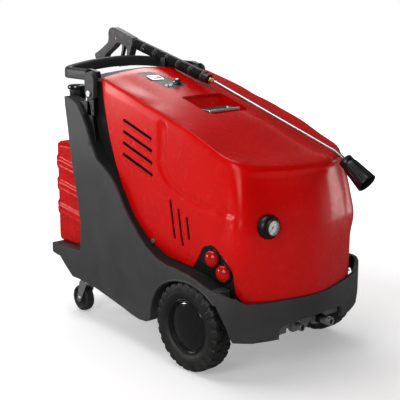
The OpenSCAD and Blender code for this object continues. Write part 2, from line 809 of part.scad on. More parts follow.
module burner_case() {
    placed() color("darkgray") {
        translate([0, boiler_at[1] + burner_y, 640]) difference() {
            cylinder(r = 50, h = 60);
            translate([0, 0, -1]) cylinder(r = 40, h = 55);
        }
    }
    at_blower() color("darkgray") difference() {
        union() {
            rod_x(90, -64, 2);
            rod_x(46, 1, 104);
            // Air duct to the burner head
            block([-34, -130, 48], [-4, -50, 88]);
        }
        rod_x(86, -60, -2);
        rod_x(42, 6, 98);
        rod_x(40, -80, -50);
        rod_x(6 + fit, -10, 20);
    }
}
module blower_wheel() {
    at_blower() color("silver") {
        rod_x(6, -52, 90);
        rod_x(30, 20, 80);
        rod_x(72, -14, -10);
        rod_x(14, -30, -10);
        for (a = [0:20:340]) rotate([a, 0, 0]) block([-52, -1, 58], [-12, 1, 72]);
    }
}
module electrical_box() {
    placed() color("slategray") block([-160, 130, 742], [160, 340, 842]);
}

base_frame();
side_panel_left();
side_panel_right();
bumper();
rear_shelf();
rear_wall();
top_cross();
hood();
hood_screws();
flue_tray();
flue_collar();
control_panel();
display_window();
main_switch();
start_button();
stop_button();
knob_panel();
detergent_knob();
pressure_knob();
gauge_case();
gauge_dial();
gauge_needle();
gauge_lens();
push_handle();
handle_bolts();
rear_tank();
filler_neck();
fuel_cap();
drive_axle();
tyre_left();
rim_left();
hub_cap_left();
tyre_right();
rim_right();
hub_cap_right();
castor_plates();
castor_fork_left();
castor_fork_right();
castor_wheel_left();
castor_wheel_right();
gun_body();
gun_trigger();
safety_catch();
lance_sleeve();
lance_nut();
lance_tube();
nozzle_guard();
lance_holder();
water_inlet();
pressure_outlet();
cable_gland();
motor_case();
motor_rotor();
pump_block();
boiler_shell();
heating_coil();
burner_case();
blower_wheel();
electrical_box();
nozzle_tip();
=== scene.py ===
import json
from math import atan, cos, pi, radians, sin, sqrt

import bmesh
import bpy
from mathutils import Matrix, Vector, geometry


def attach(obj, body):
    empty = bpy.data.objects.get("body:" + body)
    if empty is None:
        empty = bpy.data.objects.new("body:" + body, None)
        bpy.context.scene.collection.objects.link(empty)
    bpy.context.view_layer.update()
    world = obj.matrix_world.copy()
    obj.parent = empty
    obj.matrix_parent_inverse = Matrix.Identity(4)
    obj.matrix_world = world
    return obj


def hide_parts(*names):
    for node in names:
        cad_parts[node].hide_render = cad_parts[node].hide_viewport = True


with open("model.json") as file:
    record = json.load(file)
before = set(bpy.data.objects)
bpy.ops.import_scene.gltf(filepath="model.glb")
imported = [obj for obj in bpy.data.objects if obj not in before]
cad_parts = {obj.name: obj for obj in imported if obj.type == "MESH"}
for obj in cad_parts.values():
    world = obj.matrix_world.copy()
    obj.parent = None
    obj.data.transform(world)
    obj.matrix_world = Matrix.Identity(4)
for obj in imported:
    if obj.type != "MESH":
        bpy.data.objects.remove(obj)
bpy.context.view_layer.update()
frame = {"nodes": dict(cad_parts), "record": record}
nodes = frame["nodes"]
SLOTS = {m["slot"] for m in frame["record"]["materials"]}
MM = 0.001
# The design's own Y = 0 lies this far (mm) in front of the frame's origin
MID_Y = 68.5
SIDES = ((-1, "left"), (1, "right"))
X_AXIS, Y_AXIS, Z_AXIS = (1, 0, 0), (0, 1, 0), (0, 0, 1)
WHITE = (1, 1, 1, 1)


def P(x, y, z):
    """A design point in millimetres, as a point of the frame in metres."""
    return Vector((x, y - MID_Y, z)) * MM


def smoothstep(a, b, v):
    t = min(1.0, max(0.0, (v - a) / (b - a)))
    return t * t * (3 - 2 * t)


def lookup(table, v):
    """Straight-line interpolation in a table of (key, value), keys rising."""
    if v <= table[0][0]:
        return table[0][1]
    for (a, p), (b, q) in zip(table, table[1:]):
        if v <= b:
            return p + (q - p) * (v - a) / (b - a)
    return table[-1][1]


def catmull(p0, p1, p2, p3, t):
    """Point at t between p1 and p2, on the curve through four points."""
    return 0.5 * (2 * p1 + (p2 - p0) * t + (2 * p0 - 5 * p1 + 4 * p2 - p3) * t * t
                  + (3 * p1 - 3 * p2 + p3 - p0) * t ** 3)


def running(points):
    """Length along a line of points, at each of them."""
    lengths = [0.0]
    for a, b in zip(points, points[1:]):
        lengths.append(lengths[-1] + (b - a).length)
    return lengths


def spline(points, count, closed=False):
    """Catmull-Rom curve through points, sampled evenly by length."""
    pts = [Vector(p) for p in points]
    n = len(pts)
    dense = []
    for i in range(n if closed else n - 1):
        if closed:
            four = [pts[(i + k) % n] for k in (-1, 0, 1, 2)]
        else:
            p1, p2 = pts[i], pts[i + 1]
            four = [pts[i - 1] if i else p1 * 2 - p2, p1, p2, pts[i + 2] if i + 2 < n else p2 * 2 - p1]
        dense += [catmull(*four, k / 12) for k in range(12)]
    dense.append(pts[0] if closed else pts[-1])
    lengths = running(dense)
    out, j = [], 0
    steps = count if closed else count - 1
    for i in range(count):
        want = lengths[-1] * i / steps
        while j < len(dense) - 2 and lengths[j + 1] < want:
            j += 1
        span = lengths[j + 1] - lengths[j] or 1
        out.append(dense[j].lerp(dense[j + 1], min(1, max(0, (want - lengths[j]) / span))))
    return out


# ---- materials

# The finishes by name
M = {}


def add_node(tree, kind, inputs=None, **settings):
    """A shader node. inputs gives each input a value or the socket that feeds it."""
    n = tree.nodes.new("ShaderNode" + kind)
    for key, value in settings.items():
        setattr(n, key, value)
    for key, value in (inputs or {}).items():
        if isinstance(value, bpy.types.NodeSocket):
            tree.links.new(value, n.inputs[key])
        else:
            n.inputs[key].default_value = value
    return n


def surface(name, colour, rough, metal=0.0, grain=0.0, grain_size=900.0, coat=0.0, coat_rough=0.1, vary=0.08,
            rough_vary=0.12, scuff=0.0, specular=0.5, dust=0.0, stretch=None, tint=(1, 1, 1), alpha=1.0):
    """Procedural finish: mottled colour, uneven roughness, fine grain, light scuffs and settled dust."""
    m = M[name] = bpy.data.materials.new(name)
    m.use_nodes = True
    nt = m.node_tree
    nt.nodes.clear()
    out = add_node(nt, "OutputMaterial")
    b = add_node(nt, "BsdfPrincipled", {
        "Metallic": metal, "Specular IOR Level": specular, "Specular Tint": tint + (1,),
        "Coat Weight": coat, "Coat Roughness": coat_rough, "Alpha": alpha})
    nt.links.new(b.outputs[0], out.inputs[0])
    co = add_node(nt, "TexCoord").outputs["Object"]
    fine_co = add_node(nt, "Mapping", {"Scale": stretch, "Vector": co}).outputs[0] if stretch else co

    def noise(vector, scale, detail=2.0, roughness=0.5):
        return add_node(nt, "TexNoise", {"Scale": scale, "Detail": detail, "Roughness": roughness,
                                         "Vector": vector}).outputs["Fac"]

    def ramp(fac, low, high, lo, hi):
        return add_node(nt, "MapRange", {"From Min": low, "From Max": high, "To Min": lo, "To Max": hi,
                                         "Value": fac}).outputs[0]

    def mix(fac, a, c):
        return add_node(nt, "Mix", {0: fac, 6: a, 7: c}, data_type="RGBA").outputs[2]

    dark = tuple(c * (1 - vary) for c in colour) + (1,)
    light = tuple(min(1, c * (1 + vary) + 0.004 * vary) for c in colour) + (1,)
    tone = mix(ramp(noise(co, 9.0, 3.0), 0.35, 0.65, 0, 1), dark, light)
    roughness = ramp(noise(fine_co, 34.0, 4.0, 0.6), 0.3, 0.7, rough * (1 - rough_vary), rough * (1 + rough_vary))
    if scuff:
        marks = ramp(noise(fine_co, 55.0, 8.0, 0.75), 0.60, 0.70, 0, scuff)
        worn = tuple(min(1, c * 0.75 + 0.08) for c in colour) + (1,)
        tone = mix(marks, tone, worn)
    if dust:
        height = add_node(nt, "SeparateXYZ", {0: co}).outputs["Z"]
        spots = add_node(nt, "Math", {0: ramp(height, 0.0, 0.22, dust, 0),
                                      1: ramp(noise(co, 40.0, 6.0, 0.7), 0.4, 0.7, 0.1, 1)}, operation="MULTIPLY")
        tone = mix(spots.outputs[0], tone, (0.24, 0.22, 0.19, 1))
    nt.links.new(tone, b.inputs["Base Color"])
    nt.links.new(roughness, b.inputs["Roughness"])
    if grain:
        bump = add_node(nt, "Bump", {"Strength": grain, "Distance": 0.0006,
                                     "Height": noise(fine_co, grain_size, 3.0, 0.6)})
        nt.links.new(bump.outputs[0], b.inputs["Normal"])
    return m


surface("red_shell", (0.57, 0.0008, 0.0006), 0.26, grain=0.06, grain_size=420, coat=0.02, coat_rough=0.2, vary=0.04,
        specular=0.42, tint=(1, 0.36, 0.32))
surface("red_tank", (0.5, 0.001, 0.0008), 0.28, grain=0.12, grain_size=600, vary=0.06, specular=0.4,
        tint=(1, 0.25, 0.22))
surface("grey_moulding", (0.042, 0.042, 0.042), 0.46, grain=0.3, grain_size=1500, vary=0.1, scuff=0.06, dust=0.06)
surface("handle_plastic", (0.03, 0.03, 0.031), 0.42, grain=0.35, grain_size=1600, vary=0.1, scuff=0.14)
surface("black_plastic", (0.0045, 0.0045, 0.005), 0.34, grain=0.22, grain_size=1500, vary=0.12, scuff=0.06)
surface("matt_black", (0.006, 0.006, 0.006), 0.75, grain=0.3, vary=0.15, specular=0.25)
surface("gloss_black", (0.006, 0.006, 0.006), 0.07, coat=1.0, coat_rough=0.04, vary=0.08, rough_vary=0.3)
surface("knob_red", (0.42, 0.003, 0.002), 0.18, coat=0.25, coat_rough=0.08, vary=0.04, tint=(1, 0.6, 0.55))
surface("tyre_rubber", (0.009, 0.009, 0.009), 0.5, grain=0.5, grain_size=1100, vary=0.15, scuff=0.1, dust=0.1)
surface("castor_rubber", (0.01, 0.01, 0.01), 0.5, grain=0.3, vary=0.12, dust=0.12)
surface("rim_black", (0.009, 0.009, 0.009), 0.3, grain=0.15, vary=0.1, scuff=0.08, dust=0.04)
surface("zinc_steel", (0.8, 0.81, 0.82), 0.42, metal=1.0, grain=0.2, grain_size=500, vary=0.06, scuff=0.1,
        stretch=(1, 1, 6))
surface("stainless", (0.5, 0.49, 0.48), 0.26, metal=1.0, grain=0.12, grain_size=500, vary=0.05, scuff=0.05,
        stretch=(8, 1, 8))
surface("chrome", (0.9, 0.9, 0.91), 0.1, metal=1.0, grain=0.03, vary=0.02)
surface("bright_bar", (0.94, 0.94, 0.95), 0.42, metal=1.0, grain=0.03, vary=0.02)
surface("brass", (0.86, 0.62, 0.26), 0.24, metal=1.0, grain=0.12, grain_size=700, vary=0.06)
surface("dial_white", (0.86, 0.86, 0.84), 0.4, vary=0.02)
surface("lens", (0.95, 0.97, 0.98), 0.04, vary=0.01, alpha=0.12)
surface("panel_grey", (0.1, 0.1, 0.105), 0.36, grain=0.35, grain_size=2200, vary=0.06)
surface("display", (0.16, 0.17, 0.165), 0.12, coat=0.6, vary=0.06)
surface("green_plastic", (0.03, 0.3, 0.07), 0.25, coat=0.3, vary=0.04)
surface("needle_black", (0.01, 0.01, 0.01), 0.4, vary=0.05)
surface("print_white", (0.75, 0.75, 0.74), 0.5, vary=0.03)
surface("painted_steel", (0.11, 0.115, 0.12), 0.42, grain=0.3, grain_size=800, vary=0.08, scuff=0.12, dust=0.3)
surface("cast_aluminium", (0.56, 0.56, 0.55), 0.45, metal=1.0, grain=0.5, grain_size=600, vary=0.08, scuff=0.1)
surface("boiler_steel", (0.5, 0.5, 0.5), 0.34, metal=1.0, grain=0.15, vary=0.08, scuff=0.1, stretch=(1, 1, 10))
surface("box_grey", (0.26, 0.28, 0.3), 0.45, grain=0.3, grain_size=1400, vary=0.05)

# ---- mesh tools


def link(name, data):
    """A new object of the scene."""
    ob = bpy.data.objects.new(name, data)
    bpy.context.scene.collection.objects.link(ob)
    return ob


def new_mesh(name, verts, faces, weld=False):
    """A mesh whose faces all look outwards."""
    mesh = bpy.data.meshes.new(name)
    mesh.from_pydata([tuple(v) for v in verts], [], faces)
    bm = bmesh.new()
    bm.from_mesh(mesh)
    if weld:
        bmesh.ops.remove_doubles(bm, verts=bm.verts, dist=1e-6)
    bmesh.ops.recalc_face_normals(bm, faces=bm.faces)
    bm.to_mesh(mesh)
    bm.free()
    return mesh


def baked(ob):
    """Makes the object's modified shape its mesh."""
    bpy.context.view_layer.update()
    done = bpy.data.meshes.new_from_object(ob.evaluated_get(bpy.context.evaluated_depsgraph_get()))
    ob.modifiers.clear()
    ob.data = done


def piece(name, verts, faces, material, body="machine", slot=None, stands_for=(), angle=35):
    """A finished object: mesh, shading, material and the body it rides on; the CAD node it stands for is hidden."""
    ob = link(name, new_mesh(name, verts, faces, weld=True))
    dress(ob, material, angle=angle)
    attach(ob, body)
    if (slot or material) in SLOTS:
        slot or material
    if stands_for:
        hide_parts(stands_for)
    return ob


def dress(ob, material, bevel=0.0, segments=3, angle=35):
    """Material, smooth shading with sharp edges over angle, and rounded edges where bevel says."""
    ob.data.materials.clear()
    ob.data.materials.append(M[material])
    soften(ob, bevel, segments, angle)


def soften(ob, bevel, segments=3, angle=32):
    for p in ob.data.polygons:
        p.use_smooth = True
    if bevel:
        mod = ob.modifiers.new("round", "BEVEL")
        mod.width = bevel
        mod.segments = segments
        mod.limit_method = "ANGLE"
        mod.angle_limit = radians(angle)
        mod.harden_normals = True
    ob.data.set_sharp_from_angle(angle=radians(angle))


def loft(rings, caps=True):
    """Quads between closed rings of equal length."""
    n = len(rings[0])
    verts = [v for r in rings for v in r]
    faces = []
    for i in range(len(rings) - 1):
        for j in range(n):
            k = (j + 1) % n
            faces.append((i * n + j, i * n + k, (i + 1) * n + k, (i + 1) * n + j))
    if caps:
        faces.append(tuple(range(n - 1, -1, -1)))
        faces.append(tuple((len(rings) - 1) * n + j for j in range(n)))
    return verts, faces


def merge(*parts):
    verts, faces = [], []
    for v, f in parts:
        base = len(verts)
        verts += list(v)
        faces += [tuple(i + base for i in q) for q in f]
    return verts, faces


def axis_frame(origin, axis):
    """Matrix whose Z runs along axis from origin."""
    return Matrix.Translation(origin) @ Vector(axis).normalized().to_track_quat("Z", "Y").to_matrix().to_4x4()


def lathe(profile, origin, axis, count=64, wave=None):
    """Revolves [(radius, distance along axis)] in mm. wave(angle, distance) scales the radius."""
    m = axis_frame(origin, axis)
    rings = []
    for r, t in profile:
        ring = []
        for i in range(count):
            a = 2 * pi * i / count
            k = wave(a, t) if wave else 1
            ring.append(m @ (Vector((r * k * cos(a), r * k * sin(a), t)) * MM))
        rings.append(ring)
    return loft(rings)


def closed_lathe(profile, origin, axis, count=64, wave=None):
    """Revolves a closed profile that stays clear of the axis."""
    v, f = lathe(profile, origin, axis, count, wave)
    f = [q for q in f if len(q) == 4]
    last = (len(profile) - 1) * count
    f += [(last + j, last + (j + 1) % count, (j + 1) % count, j) for j in range(count)]
    return v, f


def hexagon(place, steps, turn=0):
    """Loft of six-sided rings; steps are (distance, radius), place(u, v, distance) gives the point."""
    rings = []
    for at, r in steps:
        corners = [radians(60 * k + turn) for k in range(6)]
        rings.append([place(r * cos(a), r * sin(a), at) for a in corners])
    return loft(rings)


def prism(outline, place, low, high):
    """Extrudes a 2D outline; place(u, v, w) gives the point for depth w."""
    n = len(outline)
    verts = [place(u, v, low) for u, v in outline] + [place(u, v, high) for u, v in outline]
    faces = [tuple(range(n)), tuple(range(2 * n - 1, n - 1, -1))]
    faces += [(i, (i + 1) % n, n + (i + 1) % n, n + i) for i in range(n)]
    return verts, faces


def brick(low, high):
    """Box between two design points."""
    (x0, y0, z0), (x1, y1, z1) = low, high
    v = [P(x, y, z) for z in (z0, z1) for y in (y0, y1) for x in (x0, x1)]
    return v, [(0, 2, 3, 1), (4, 5, 7, 6), (0, 1, 5, 4), (2, 6, 7, 3), (0, 4, 6, 2), (1, 3, 7, 5)]


def rounded(points, radius, n=5):
    """Rounds the corners of a closed 2D outline. radius is one number or one a corner."""
    out = []
    k = len(points)
    for i in range(k):
        r = radius if not isinstance(radius, (list, tuple)) else radius[i]
        p = Vector(points[i])
        a = Vector(points[i - 1]) - p
        b = Vector(points[(i + 1) % k]) - p
        d = min(r, a.length * 0.48, b.length * 0.48)
        p0, p2 = p + a.normalized() * d, p + b.normalized() * d
        for j in range(n + 1):
            t = j / n
            out.append(tuple((1 - t) ** 2 * p0 + 2 * t * (1 - t) * p + t * t * p2))
    return out


def tube(path, radius, count=16, up=Vector((0, 0, 1))):
    """Sweeps a circle of radius mm along points in metres."""
    rings = []
    n = len(path)
    r = radius * MM
    turns = [2 * pi * j / count for j in range(count)]
    for i, p in enumerate(path):
        d = (path[min(n - 1, i + 1)] - path[max(0, i - 1)]).normalized()
        side = d.cross(up)
        side = side.normalized() if side.length > 1e-6 else Vector((1, 0, 0))
        high = side.cross(d).normalized()
        rings.append([p + side * (r * cos(a)) + high * (r * sin(a)) for a in turns])
    return loft(rings)


def cut(ob, parts):
    """Subtracts closed meshes from ob, and keeps the result as its mesh."""
    tool = link("cutter", new_mesh("cutter", *merge(*parts)))
    mod = ob.modifiers.new("cut", "BOOLEAN")
    mod.object = tool
    mod.solver = "EXACT"
    baked(ob)
    bpy.data.objects.remove(tool)


def skin(outline, place, front, back, step):
    """Slab over a 2D outline in mm, meshed finely so that it can follow a curved surface.

    place(u, v, w) gives the point at depth w; front and back are the depths of the two faces.
    """
    pts = []
    for i, corner in enumerate(outline):
        a, b = Vector(corner), Vector(outline[(i + 1) % len(outline)])
        k = max(1, int((b - a).length / step))
        pts += [a.lerp(b, j / k) for j in range(k)]
    m = len(pts)
    lo = [min(p[i] for p in pts) for i in (0, 1)]
    hi = [max(p[i] for p in pts) for i in (0, 1)]

    def inside(q):
        hit, j = False, m - 1
        for i in range(m):
            a, b = pts[i], pts[j]
            if (a.y > q.y) != (b.y > q.y) and q.x < (b.x - a.x) * (q.y - a.y) / (b.y - a.y) + a.x:
                hit = not hit
            j = i
        return hit

    extra = []
    nu, nv = int((hi[0] - lo[0]) / step), int((hi[1] - lo[1]) / step)
    for i in range(1, nu + 1):
        for j in range(1, nv + 1):
            q = Vector((lo[0] + i * step, lo[1] + j * step))
            if inside(q) and min((q - p).length for p in pts) > step * 0.6:
                extra.append(q)
    edges = [(i, (i + 1) % m) for i in range(m)]
    v2, _, tris, *_ = geometry.delaunay_2d_cdt(pts + extra, edges, [list(range(m))], 1, 1e-5)
    total = len(v2)
    verts = [place(p.x, p.y, front) for p in v2] + [place(p.x, p.y, back) for p in v2]
    faces = [tuple(t) for t in tris] + [tuple(i + total for i in reversed(t)) for t in tris]
    used = {}
    for t in tris:
        for a, b in zip(t, list(t[1:]) + [t[0]]):
            used[(a, b)] = used.get((a, b), 0) + 1
    faces += [(b, a, a + total, b + total) for (a, b) in used if (b, a) not in used]
    return verts, faces


# ---- hood

# Half plans of the hood from the middle of its front to its rear edge, as (x, y): at its widest, and along
# the crease or brow above. The tables below them give a height, or a drop to the side, for each y.
BELLY = [(0, -523), (64, -515), (104, -506), (148, -494), (184, -483), (216, -470), (240, -457), (257, -442),
         (268, -424), (274, -398), (277, -350), (277.5, -300), (277.5, -250), (278, -200), (278, -150),
         (278, -100), (278, -49), (277.5, 0), (277, 50), (276, 100), (274, 150), (272, 200), (269, 250), (266, 276)]
BROW = [(0, -495), (58, -491), (94, -484), (128, -473), (156, -461), (182, -447), (205, -431), (222, -415),
        (235, -398), (244, -376), (250, -340), (252, -296), (253, -250), (254, -200), (254, -150),
        (254, -100), (254, -49), (254, 0), (254, 50), (254, 100), (254, 150), (253, 200), (250, 250), (244, 276)]
BROW_Z = [(-523, 670), (-495, 674), (-470, 680), (-447, 684), (-431, 687), (-415, 691), (-398, 696), (-365, 704),
          (-319, 719), (-273, 738), (-227, 758), (-179, 775), (-131, 790), (-82, 806), (-31, 821), (19, 834),
          (100, 860), (200, 886), (250, 899), (276, 905)]
ROOF_MID = [(-523, 660), (-496, 670), (-484, 676), (-460, 686), (-430, 694), (-402, 701), (-350, 718), (-260, 753),
            (-180, 784), (-49, 826), (100, 871), (236, 912), (262, 919.5), (300, 928)]
ROOF_FALL = [(-500, 3), (-402, 12), (-49, 12), (100, 16), (278, 20)]
EDGE_Z = [(-452, 225), (-440, 262), (-424, 284), (-368, 302), (-304, 325), (-237, 335), (-168, 341), (-98, 347),
          (-40, 362), (28, 400), (60, 430), (84, 458), (116, 510), (155, 572), (184, 628), (213, 697),
          (236, 764), (256, 832), (270, 886), (279, 912)]
GROOVE = [(-63, 775), (-65, 700), (-66, 650), (-76, 622), (-96, 600), (-128, 582), (-170, 567), (-219, 554),
          (-289, 541), (-400, 538)]


def eased(table, v):
    """Smooth (Catmull-Rom) interpolation in a table of (key, value)."""
    if v <= table[0][0]:
        return table[0][1]
    for i in range(len(table) - 1):
        (a, p), (b, q) = table[i], table[i + 1]
        if v <= b:
            t = (v - a) / (b - a)
            before = table[i - 1] if i else (2 * a - b, 2 * p - q)
            after = table[i + 2] if i + 2 < len(table) else (2 * b - a, 2 * q - p)
            m0 = (q - before[1]) / (b - before[0]) * (b - a)
            m1 = (after[1] - p) / (after[0] - a) * (b - a)
            return ((2 * t ** 3 - 3 * t * t + 1) * p + (t ** 3 - 2 * t * t + t) * m0
                    + (3 * t * t - 2 * t ** 3) * q + (t ** 3 - t * t) * m1)
    return table[-1][1]


def roof_z(x, y):
    return eased(ROOF_MID, y) - eased(ROOF_FALL, y) * (x / 248) ** 2


def along_list(points, t):
    """Point at t, in steps of the list, on the smooth curve through a half plan."""
    n = len(points)
    i = min(n - 2, int(t))
    p = [Vector(points[max(0, min(n - 1, k))]) for k in (i - 1, i, i + 1, i + 2)]
    if i == 0:
        p[0] = Vector((-points[1][0], points[1][1]))
    return catmull(*p, t - i)


def far_from(line, y, z):
    """Distance from a polyline of (y, z)."""
    q = Vector((y, z))
    best = 1e9
    for a, b in zip(line, line[1:]):
        a, b = Vector(a), Vector(b)
        t = max(0, min(1, (q - a).dot(b - a) / (b - a).length_squared))
        best = min(best, (a.lerp(b, t) - q).length)
    return best


SIDE_LEAN = [(0, 0), (0.33, 0.34), (0.93, 0.80), (1, 1)]
FRONT_LEAN = [(0, 0), (0.2, 0.05), (0.33, 0.18), (0.55, 0.42), (0.67, 0.53), (0.85, 0.76), (1, 1)]


def hood_detail(x, y, z):
    """How far the moulded shapes stand out (+) or sink in (-), in mm."""
    d = 0.0
    side = smoothstep(-430, -405, y)
    if y > -420 and 500 < z < 800:
        g = far_from(GROOVE, y, z)
        wide = 24 - 12 * smoothstep(650, 590, z)
        d -= 4.5 * (1 - smoothstep(wide * 0.45, wide, g)) * side * smoothstep(800, 770, z)
    # Shoulder pad at the front corner, ending in a ledge that rises to the front
    ledge = 499 + 26 * smoothstep(-400, -455, y)
    corner = smoothstep(-375, -425, y) * smoothstep(225, 262, x)
    d += 2 * corner * (1 - smoothstep(ledge - 12, ledge + 12, z)) * smoothstep(380, 440, z)
    swell = 9 * smoothstep(-360, -430, y) * smoothstep(190, 250, x)
    d += swell * smoothstep(400, 470, z) * (1 - smoothstep(560, 680, z))
    # Valley under the brow and the pad below it
    valley = smoothstep(262, 180, x) * smoothstep(-405, -455, y)
    d -= 7 * valley * smoothstep(540, 630, z) * (1 - smoothstep(650, 670, z))
    return d


# The side starts to lean in at this height, and tucks in below it down to the lower edge
BELT, TUCK_DEPTH = 430, 208
# Fine steps from the crease to the spine, before the line is sampled
ROOF_STEPS = 60
# Steps up the side, over the crease and across the roof
WALL_STEPS, CREASE_STEPS, TOP_STEPS = 54, 10, 22
CREASE_BAND = 26


def hood_column(t):
    """Points of the outer surface over one place of the plan, from the lower edge to the spine."""
    b, c = along_list(BELLY, t), along_list(BROW, t)
    zc = eased(BROW_Z, c.y)
    z0 = lookup(EDGE_Z, b.y) if b.y > -440 else 225 + 37 * smoothstep(-452, -440, b.y)
    front = smoothstep(-380, -440, b.y)
    raw = []
    steps = max(2, int((zc - z0) / 5))
    for i in range(steps + 1):
        z = z0 + (zc - z0) * i / steps
        k = (z - BELT) / (zc - BELT)
        lean = (1 - front) * lookup(SIDE_LEAN, k) + front * lookup(FRONT_LEAN, k)
        p = b.lerp(c, lean)
        tuck = 6 * max(0.0, (BELT - z) / TUCK_DEPTH)
        p.x *= 1 - tuck / 278 * smoothstep(0, 200, b.x)
        p.y += tuck * 0.5 * (1 - smoothstep(150, 270, b.x))
        raw.append(Vector((p.x, p.y, z)))
    sy = c.y + 20 * smoothstep(180, 276, c.y)
    if c.y < -340:
        sy = -340 - (-340 - c.y) * 0.22
    step_up = zc - roof_z(c.x, c.y)
    for i in range(1, ROOF_STEPS + 1):
        k = i / ROOF_STEPS
        x = c.x * (1 - k)
        bow = 1 - (1 - k) ** 2.4
        y = c.y + (sy - c.y) * (bow if c.y > 100 else k)
        raw.append(Vector((x, y, roof_z(x, y) + step_up * (1 - smoothstep(0, 0.35, k)))))
    # Round the crease by averaging along the line
    lengths = running(raw)
    radius = 9 + 20 * front
    line = []
    for i, p in enumerate(raw):
        near = abs(lengths[i] - lengths[steps])
        w = radius * max(0.0, 1 - near / (radius * 2.5))
        if w < 1 or i == 0 or i == len(raw) - 1:
            line.append(p)
            continue
        total, weight = Vector((0, 0, 0)), 0.0
        for j in range(max(0, i - 12), min(len(raw), i + 13)):
            k = max(0.0, 1 - abs(lengths[j] - lengths[i]) / w)
            total += raw[j] * k
            weight += k
        line.append(total / weight)
    lengths = running(line)
    turn = lengths[steps]

    def at(s):
        for i in range(len(line) - 1):
            if s <= lengths[i + 1]:
                return line[i].lerp(line[i + 1], (s - lengths[i]) / (lengths[i + 1] - lengths[i] or 1))
        return line[-1]

    band = min(CREASE_BAND, turn * 0.3)
    rest = lengths[-1] - turn - band
    spots = [(turn - band) * i / WALL_STEPS for i in range(WALL_STEPS)]
    spots += [turn - band + 2 * band * i / CREASE_STEPS for i in range(CREASE_STEPS)]
    spots += [turn + band + rest * i / TOP_STEPS for i in range(TOP_STEPS + 1)]
    return [at(min(s, lengths[-1])) for s in spots]


def hood_shell():
    """The hood's outer surface, both halves."""
    fine = [along_list(BELLY, k / 20) for k in range(20 * (len(BELLY) - 1) + 1)]
    run = running(fine)
    columns = []
    count, j = 136, 0
    for i in range(count + 1):
        want = run[-1] * i / count
        while j < len(run) - 2 and run[j + 1] < want:
            j += 1
        t = (j + (want - run[j]) / (run[j + 1] - run[j])) / 20
        columns.append(hood_column(min(t, len(BELLY) - 1.0001)))
    rows = len(columns[0])
    # Push the moulded shapes along the surface's own normal
    shaped = []
    for i, col in enumerate(columns):
        for k, p in enumerate(col):
            d = hood_detail(p.x, p.y, p.z) if p.z < 800 else 0
            if abs(d) > 1e-4:
                a = columns[max(0, i - 1)][k]
                b = columns[min(count, i + 1)][k]
                n = (b - a).cross(col[min(rows - 1, k + 1)] - col[max(0, k - 1)])
                if i == 0:
                    n = Vector((0, -1, 0))
                n.normalize()
                if n.x * p.x - n.y * 0.2 * (1 if p.y < -400 else 0) < 0 and n.y > -0.9:
                    n = -n
                p = p + n * d
            shaped.append(p)
    half = len(shaped)
    verts = [P(*p) for p in shaped] + [P(-p.x, p.y, p.z) for p in shaped]
    faces = []
    for i in range(count):
        for k in range(rows - 1):
            a, b = i * rows + k, (i + 1) * rows + k
            faces += [(a, b, b + 1, a + 1), (half + a, half + a + 1, half + b + 1, half + b)]
    return verts, faces


def slant(y, z, tilt, w, y0, y1, z0, z1, x0, x1):
    """Bar across the hood's side: local y and z limits about (y, z), turned by tilt degrees."""
    c, s = cos(radians(tilt)), sin(radians(tilt))
    outline = rounded([(y0, z0), (y1, z0), (y1, z1), (y0, z1)], w, 3)
    return prism(outline, lambda u, v, x: P(x, y + u * c - v * s, z + u * s + v * c), x0, x1)


def across(outline, x0, x1):
    return prism(outline, lambda u, v, x: P(x, u, v), x0, x1)


def grown(outline, t):
    """A convex outline moved outwards by t."""
    c = sum((Vector(p) for p in outline), Vector((0, 0))) / len(outline)
    return [tuple(Vector(p) + (Vector(p) - c).normalized() * t) for p in outline]


def side_x(y, z):
    """Half-width of the hood's side at a height, on its plain surface."""
    t = 9
    for i in range(8, len(BELLY) - 1):
        if BELLY[i][1] <= y <= BELLY[i + 1][1]:
            t = i + (y - BELLY[i][1]) / (BELLY[i + 1][1] - BELLY[i][1])
    b, c = along_list(BELLY, t), along_list(BROW, t)
    k = (z - BELT) / (eased(BROW_Z, y) - BELT)
    return b.x + (c.x - b.x) * lookup(SIDE_LEAN, k) - 6 * max(0.0, (BELT - z) / TUCK_DEPTH)


KNOB_PANEL = [(-318, 426), (-297, 421), (-279, 408), (-222, 316), (-230, 306), (-424, 250), (-421, 273),
              (-414, 318), (-409, 352), (-392, 376), (-362, 404), (-338, 421)]
# Louvres and slots of a side, each (y, z, length)
LOUVRES = [(141, 775 - 39 * i, 161 + 3.5 * i) for i in range(4)]
LOUVRE_TILT = 18
SLOTS_UP = [(-115, 539, 128), (-156, 516, 122), (-198, 497, 75)]
CONTROL = [(-106, 254), (-42, 254), (12, 110), (-82, 104)]
GAUGE = (-184, -484, 500)
SHELL_WALL = 4

hood = piece("hood_shell", *hood_shell(), "red_shell", stands_for="hood", angle=60)
thick = hood.modifiers.new("wall", "SOLIDIFY")
thick.thickness = SHELL_WALL * MM
thick.offset = -1
baked(hood)
cutters = []
for side, _ in SIDES:
    through = (side * 300, side * 200)
    cutters += [slant(y, z, LOUVRE_TILT, 4.5, -l, 0, -6, 6, *through) for y, z, l in LOUVRES]
    cutters += [slant(y, z, -14, 4, -5.5, 5.5, -l, 0, *through) for y, z, l in SLOTS_UP]
cutters += [
    prism(rounded([(-94, -118), (94, -118), (94, 32), (-94, 32)], [30, 30, 12, 12], 6), P, 640, 990),
    prism(rounded(grown(CONTROL, 1.4), 10, 5), P, 780, 990),
    across(rounded(grown(KNOB_PANEL, 1.6), 6, 3), -330, -200),
    lathe([(39, -60), (39, 60)], P(*GAUGE), Y_AXIS, 48),
    brick((55, 288, 890), (113, 300, 990))]
cut(hood, cutters)
dress(hood, "red_shell", angle=42)

